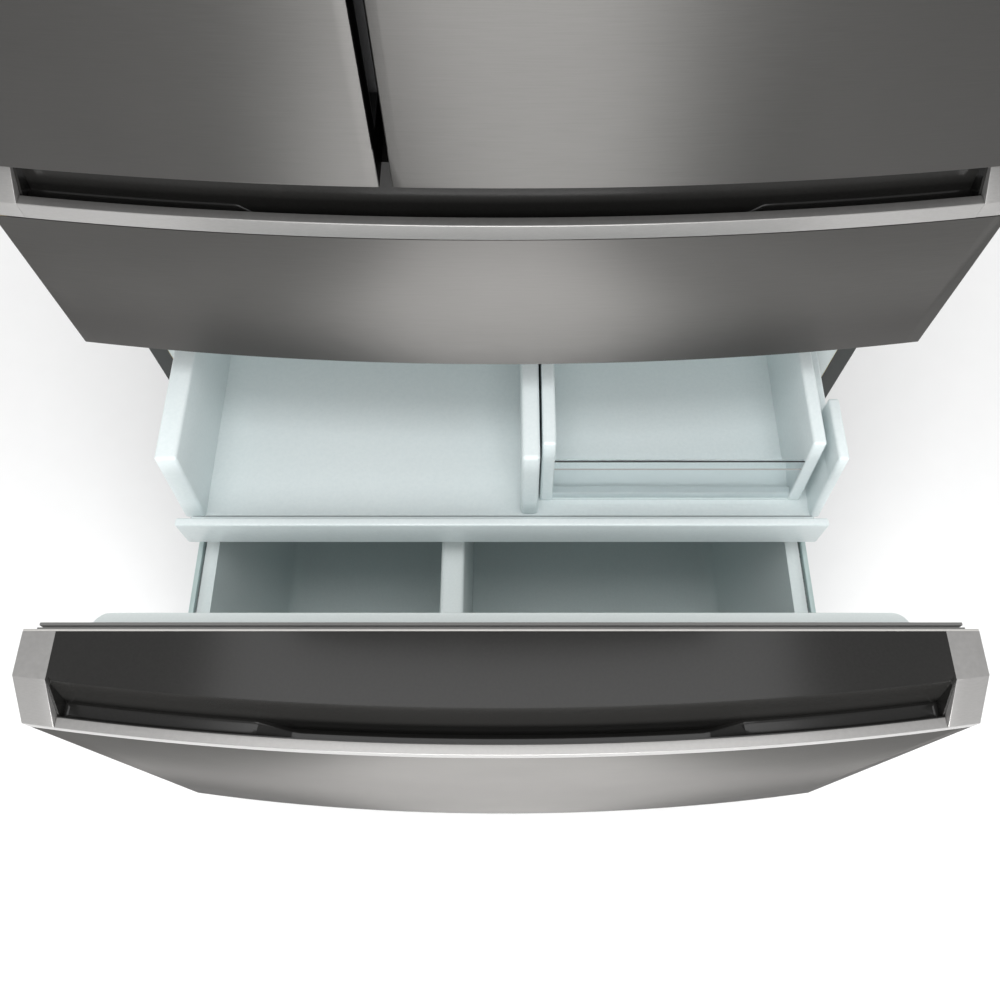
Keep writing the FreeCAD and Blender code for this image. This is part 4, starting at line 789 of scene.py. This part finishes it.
# ------------------------------------------------------------------ middle drawer basket
# Shallow basket moulded in milky white plastic, with rounded corners, hung
# between the two slides of the middle drawer.
frosted = finish("basket_plastic", (0.742, 0.81, 0.808), (0.683, 0.76, 0.762), 0.3, 0.003, relief=0.00004)
milky = frosted.node_tree.nodes["Principled BSDF"]
milky.inputs["Subsurface Weight"].default_value = 0.15
milky.inputs["Subsurface Radius"].default_value = (1.0, 1.0, 1.0)
milky.inputs["Subsurface Scale"].default_value = 0.004
BASKET_WALL = 0.004
SHALLOW_CORNER = 0.02
shallow = moulded_box(*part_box("middle_basket"), 0.0, SHALLOW_CORNER)
basket = piece("middle_basket_moulding", shallow, "middle_drawer", "basket_plastic", frosted, "middle_basket")
thicken(basket, BASKET_WALL)

# ------------------------------------------------------------------ freezer basket
# Deep frosted basket with leaning sides. Its rim is a broad flange with a raised
# outer edge, which rests on the steel side frames of the drawer.
BASKET_FLANGE = 0.018
BASKET_END_FLANGE = 0.008
BASKET_TAPER = 0.022
BASKET_CORNER = 0.022
BEAD_WIDTH = 0.006
BEAD_HEIGHT = 0.009
BEAD_ROUND = 0.0012
RIB_WIDTH = 0.0022
RIB_RISE = 0.0022
RIB_SINK = 0.001
RIB_ROUND = 0.0007
RIB_END = 0.012
FRONT_RIB_STOP = 0.21
FRONT_RIB_INSET = 0.0115
REAR_RIB_START = 0.20
REAR_RIB_INSET = 0.0145
low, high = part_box("freezer_basket")
rim_z = high.z - BASKET_WALL
side_inset = BASKET_FLANGE + BASKET_WALL
end_inset = BASKET_END_FLANGE + BASKET_WALL
deep = moulded_box((low.x + side_inset, low.y + end_inset, low.z),
                   (high.x - side_inset, high.y - end_inset, rim_z), BASKET_TAPER, BASKET_CORNER)
grown = bmesh.ops.extrude_edge_only(deep, edges=open_edges_of(deep.edges))["geom"]
for v in points_of(grown):
    v.co.x += math.copysign(BASKET_FLANGE - BEAD_WIDTH, v.co.x)
    v.co.y += math.copysign(BASKET_END_FLANGE, v.co.y - (low.y + high.y) / 2)
basket = piece("freezer_basket_moulding", deep, "freezer_drawer", "basket_plastic", frosted,
               "freezer_basket")
thicken(basket, BASKET_WALL)
bead_tint = see_through("bead_plastic", (0.60, 0.74, 0.73), 0.25, 0.01, 0.2)
beads = bmesh.new()
ribs = bmesh.new()
for side in (-1, 1):
    near, far = sorted((side * (high.x - BEAD_WIDTH), side * high.x))
    bead, _ = block((near, low.y, high.z - BEAD_HEIGHT), (far, high.y, high.z))
    soften(bead, sharp_edges(bead), BEAD_ROUND, 2)
    join(beads, bead)
    for y0, y1, inset in ((low.y + RIB_END, low.y + FRONT_RIB_STOP, FRONT_RIB_INSET),
                          (low.y + REAR_RIB_START, high.y - RIB_END, REAR_RIB_INSET)):
        near, far = sorted((side * (high.x - inset - RIB_WIDTH), side * (high.x - inset)))
        rib, _ = block((near, y0, rim_z - RIB_SINK), (far, y1, rim_z + RIB_RISE))
        soften(rib, sharp_edges(rib), RIB_ROUND, 2)
        join(ribs, rib)
piece("freezer_basket_beads", beads, "freezer_drawer", "clear_plastic", bead_tint)
piece("freezer_basket_ribs", ribs, "freezer_drawer", "basket_plastic", frosted)

# ------------------------------------------------------------------ basket divider
# White moulded wall across the basket, hung on its two sides so that it slides
# from end to end.
wall = softened("basket_divider", width=0.004, segments=4)
piece("basket_divider_wall", wall, "basket_divider", "tray_plastic", liner_white, "basket_divider")

# ------------------------------------------------------------------ upper tray
# White moulded tray that slides back over the basket: side walls whose fronts lean
# back, a partition beside the ice bin, and a pull lip across the whole front.
TRAY_RAKE = 0.018
TRAY_HEIGHT = 0.117
TRAY_LENGTH = 0.330
TRAY_FLOOR = 0.0035
TRAY_LEFT = 0.025
TRAY_RIGHT = 0.012
TRAY_STEP = 0.095
TRAY_STEP_DROP = 0.036
TRAY_OVERLAP = 0.001
TRAY_ROUND = 0.003
LEFT_ROUND = 0.0035
STEP_SINK = 0.006
FLOOR_LEFT = 0.01
FLOOR_RIGHT = 0.006
BACK_LEFT = 0.02
BACK_RIGHT = 0.01
BACK_WALL = 0.004
LIP_DEPTH = 0.010
LIP_INSET = 0.008
LIP_TOP = 0.051
LIP_FALL = 0.001
TRAY_LIP_ROUND = 0.0025
PARTITION = (0.022, 0.042)
PARTITION_ROUND = 0.0045
PARTITION_DROP = 0.002
rake = TRAY_RAKE / TRAY_HEIGHT
tray_white = finish("tray_plastic", (0.80, 0.87, 0.875), (0.733, 0.81, 0.82), 0.3, 0.004, relief=0.00003)
low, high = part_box("upper_tray")
tray_front = high.y - TRAY_LENGTH


def raked(bm, front, back, z0, z1, x0, x1, width=TRAY_ROUND):
    """A wall whose front leans back as it rises, with rounded edges."""
    outline = [(front + rake * (z0 - low.z), z0), (front + rake * (z1 - low.z), z1), (back, z1), (back, z0)]
    bar = drawn_out(outline, x0, x1)
    soften(bar, sharp_edges(bar, 20), width, 4)
    join(bm, bar)


tray = bmesh.new()
step_z = high.z - TRAY_STEP_DROP
floor_z = low.z + TRAY_FLOOR
raked(tray, tray_front, high.y, low.z, high.z, low.x, low.x + TRAY_LEFT, LEFT_ROUND)
raked(tray, tray_front, high.y, low.z, step_z, high.x - TRAY_RIGHT, high.x)
raked(tray, tray_front, tray_front + TRAY_STEP, step_z - STEP_SINK, high.z, high.x - TRAY_RIGHT, high.x)
raked(tray, tray_front + PARTITION_DROP, high.y - BACK_WALL, floor_z - TRAY_OVERLAP,
      high.z - PARTITION_DROP, *PARTITION, PARTITION_ROUND)
block((low.x + FLOOR_LEFT, tray_front, low.z), (high.x - FLOOR_RIGHT, high.y, floor_z), tray)
block((low.x + BACK_LEFT, high.y - BACK_WALL, floor_z), (high.x - BACK_RIGHT, high.y, step_z), tray)
lip_back = low.y + LIP_DEPTH
lip_left = low.x + LIP_INSET
lip_right = high.x - LIP_INSET
lip_top = low.z + LIP_TOP
lip = drawn_out([(low.y, low.z), (low.y, lip_top), (lip_back, lip_top - LIP_FALL), (lip_back, low.z)],
                lip_left, lip_right)
soften(lip, sharp_edges(lip, 30), TRAY_LIP_ROUND, 4)
join(tray, lip)
block((lip_left, lip_back - TRAY_OVERLAP, low.z), (lip_right, tray_front + TRAY_OVERLAP, floor_z), tray)
piece("upper_tray_moulding", tray, "upper_tray", "tray_plastic", tray_white, "upper_tray")

# ------------------------------------------------------------------ ice bin
# White bin beside the partition, with thick raked sides, a low rail across the front
# and a clear window let in between the sides. A black strip along the window's top is
# painted shade standing in for the dark edge of the pane, and the rib on its face is
# coloured grey as a painted shade line.
BIN_WALL = 0.015
BIN_SETBACK = 0.020
BIN_TUCK = 0.010
BIN_FLOOR = 0.003
RAIL_SETBACK = 0.0025
RAIL_BACK = 0.016
RAIL_HEIGHT = 0.012
RAIL_ROUND = 0.0015
WINDOW = 0.003
WINDOW_TOP = 0.079
WINDOW_SETBACK = 0.002
WINDOW_TUCK = 0.001
WINDOW_ROUND = 0.0006
EDGE_SHADE_FRONT = 0.0006
EDGE_SHADE_BACK = 0.0008
EDGE_SHADE_FOOT = 0.0004
EDGE_SHADE_TOP = 0.0007
LEDGE_SHARE = 0.8
LEDGE_FRONT = 0.0008
LEDGE_BACK = 0.0005
LEDGE_RISE = 0.001
window_clear = see_through("window_plastic", (0.93, 0.97, 0.98), 0.04, 0.2, 0.95)
window_clear.node_tree.nodes["Principled BSDF"].inputs["IOR"].default_value = 1.08
bin_low, bin_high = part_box("ice_bin")
ice = bmesh.new()
bin_front = tray_front + BIN_SETBACK
bin_left = bin_low.x + BIN_TUCK
bin_right = bin_high.x - BIN_TUCK
for x0, x1 in ((bin_low.x, bin_low.x + BIN_WALL), (bin_high.x - BIN_WALL, bin_high.x)):
    raked(ice, bin_front, bin_high.y, bin_low.z, bin_high.z, x0, x1)
foot = bin_low.z + BIN_FLOOR
block((bin_left, bin_front + WINDOW_SETBACK, bin_low.z), (bin_right, bin_high.y, foot), ice)
block((bin_left, bin_high.y - BACK_WALL, bin_low.z), (bin_right, bin_high.y, bin_high.z), ice)
raked(ice, bin_front + RAIL_SETBACK, bin_front + RAIL_BACK, bin_low.z, bin_low.z + RAIL_HEIGHT,
      bin_left, bin_right, RAIL_ROUND)
piece("ice_bin_moulding", ice, "upper_tray", "tray_plastic", tray_white, "ice_bin")
head = low.z + WINDOW_TOP
near = bin_front + WINDOW_SETBACK + rake * (foot - low.z)
far = bin_front + WINDOW_SETBACK + rake * (head - low.z)
pane_left = bin_low.x + BIN_WALL
pane_right = bin_high.x - BIN_WALL
window = drawn_out([(near, foot), (far, head), (far + WINDOW, head), (near + WINDOW, foot)],
                   pane_left - WINDOW_TUCK, pane_right + WINDOW_TUCK)
soften(window, sharp_edges(window, 30), WINDOW_ROUND, 2)
piece("ice_bin_window", window, "upper_tray", "clear_plastic", window_clear)


def window_strip(x0, x1, y0, y1, z0, z1):
    """A thin square strip along the window."""
    return drawn_out([(y0, z0), (y0, z1), (y1, z1), (y1, z0)], x0, x1)


# A black strip over the pane's top edge: painted shade for its dark edge line.
edge_shade_strip = window_strip(pane_left - WINDOW_TUCK, pane_right + WINDOW_TUCK,
                      far - EDGE_SHADE_FRONT, far + EDGE_SHADE_BACK, head - EDGE_SHADE_FOOT, head + EDGE_SHADE_TOP)
piece("ice_bin_window_edge_shade", edge_shade_strip, "upper_tray", "dark_trim", moulded_black)
# A thin rib across the pane, coloured grey: a painted shade line on the clear window.
ledge_y = near + (far - near) * LEDGE_SHARE
ledge_z = foot + (head - foot) * LEDGE_SHARE
ledge = window_strip(pane_left, pane_right, ledge_y - LEDGE_FRONT, ledge_y + LEDGE_BACK,
                     ledge_z, ledge_z + LEDGE_RISE)
piece("ice_bin_window_ledge", ledge, "upper_tray", "liner_plastic", painted_shade_grey)

# ------------------------------------------------------------------ studio
# A plain pale floor, a soft white surround and three soft panel lights. The camera
# stands over the open drawer and looks steeply down into it.
floor_mesh = bmesh.new()
bmesh.ops.create_grid(floor_mesh, x_segments=1, y_segments=1, size=6.0)
floor_data = bpy.data.meshes.new("studio_floor")
floor_mesh.to_mesh(floor_data)
floor_mesh.free()
studio_floor = bpy.data.objects.new("studio_floor", floor_data)
bpy.context.scene.collection.objects.link(studio_floor)
pale = finish("pale_floor", (0.9, 0.9, 0.9), (0.88, 0.88, 0.88), 0.9, 0.05, relief=0.0)
floor_data.materials.append(pale)

world = bpy.data.worlds.new("studio")
world.use_nodes = True
world.node_tree.nodes["Background"].inputs["Color"].default_value = (1.0, 1.0, 1.0, 1.0)
world.node_tree.nodes["Background"].inputs["Strength"].default_value = 0.8
bpy.context.scene.world = world
bpy.context.scene.view_settings.view_transform = "Standard"


def soft_light(name, place, aim, width, height, power):
    """A soft panel light at a place, turned towards a point."""
    data = bpy.data.lights.new(name, "AREA")
    data.shape = "RECTANGLE"
    data.size = width
    data.size_y = height
    data.energy = power
    lamp = bpy.data.objects.new(name, data)
    lamp.location = place
    lamp.rotation_mode = "QUATERNION"
    lamp.rotation_quaternion = (Vector(aim) - Vector(place)).to_track_quat("-Z", "Y")
    bpy.context.scene.collection.objects.link(lamp)


soft_light("front_panel", (0.1, -2.6, 2.6), (0, -0.6, 0.5), 1.8, 1.2, 22)
soft_light("top_panel", (0, -0.6, 3.4), (0, -0.5, 0), 2.4, 1.6, 34)
soft_light("low_panel", (0, -2.6, 0.8), (0, -0.5, 0.6), 1.1, 0.8, 45)

camera_data = bpy.data.cameras.new("camera")
camera_data.sensor_width = 36.0
camera_data.lens = 31.9
camera_data.shift_x = -0.0070
camera_data.shift_y = -0.0030
camera = bpy.data.objects.new("camera", camera_data)
camera.location = (0.0057, -1.0257, 1.4379)
camera.rotation_euler = (math.radians(25.23), 0, 0)
bpy.context.scene.collection.objects.link(camera)
bpy.context.scene.camera = camera
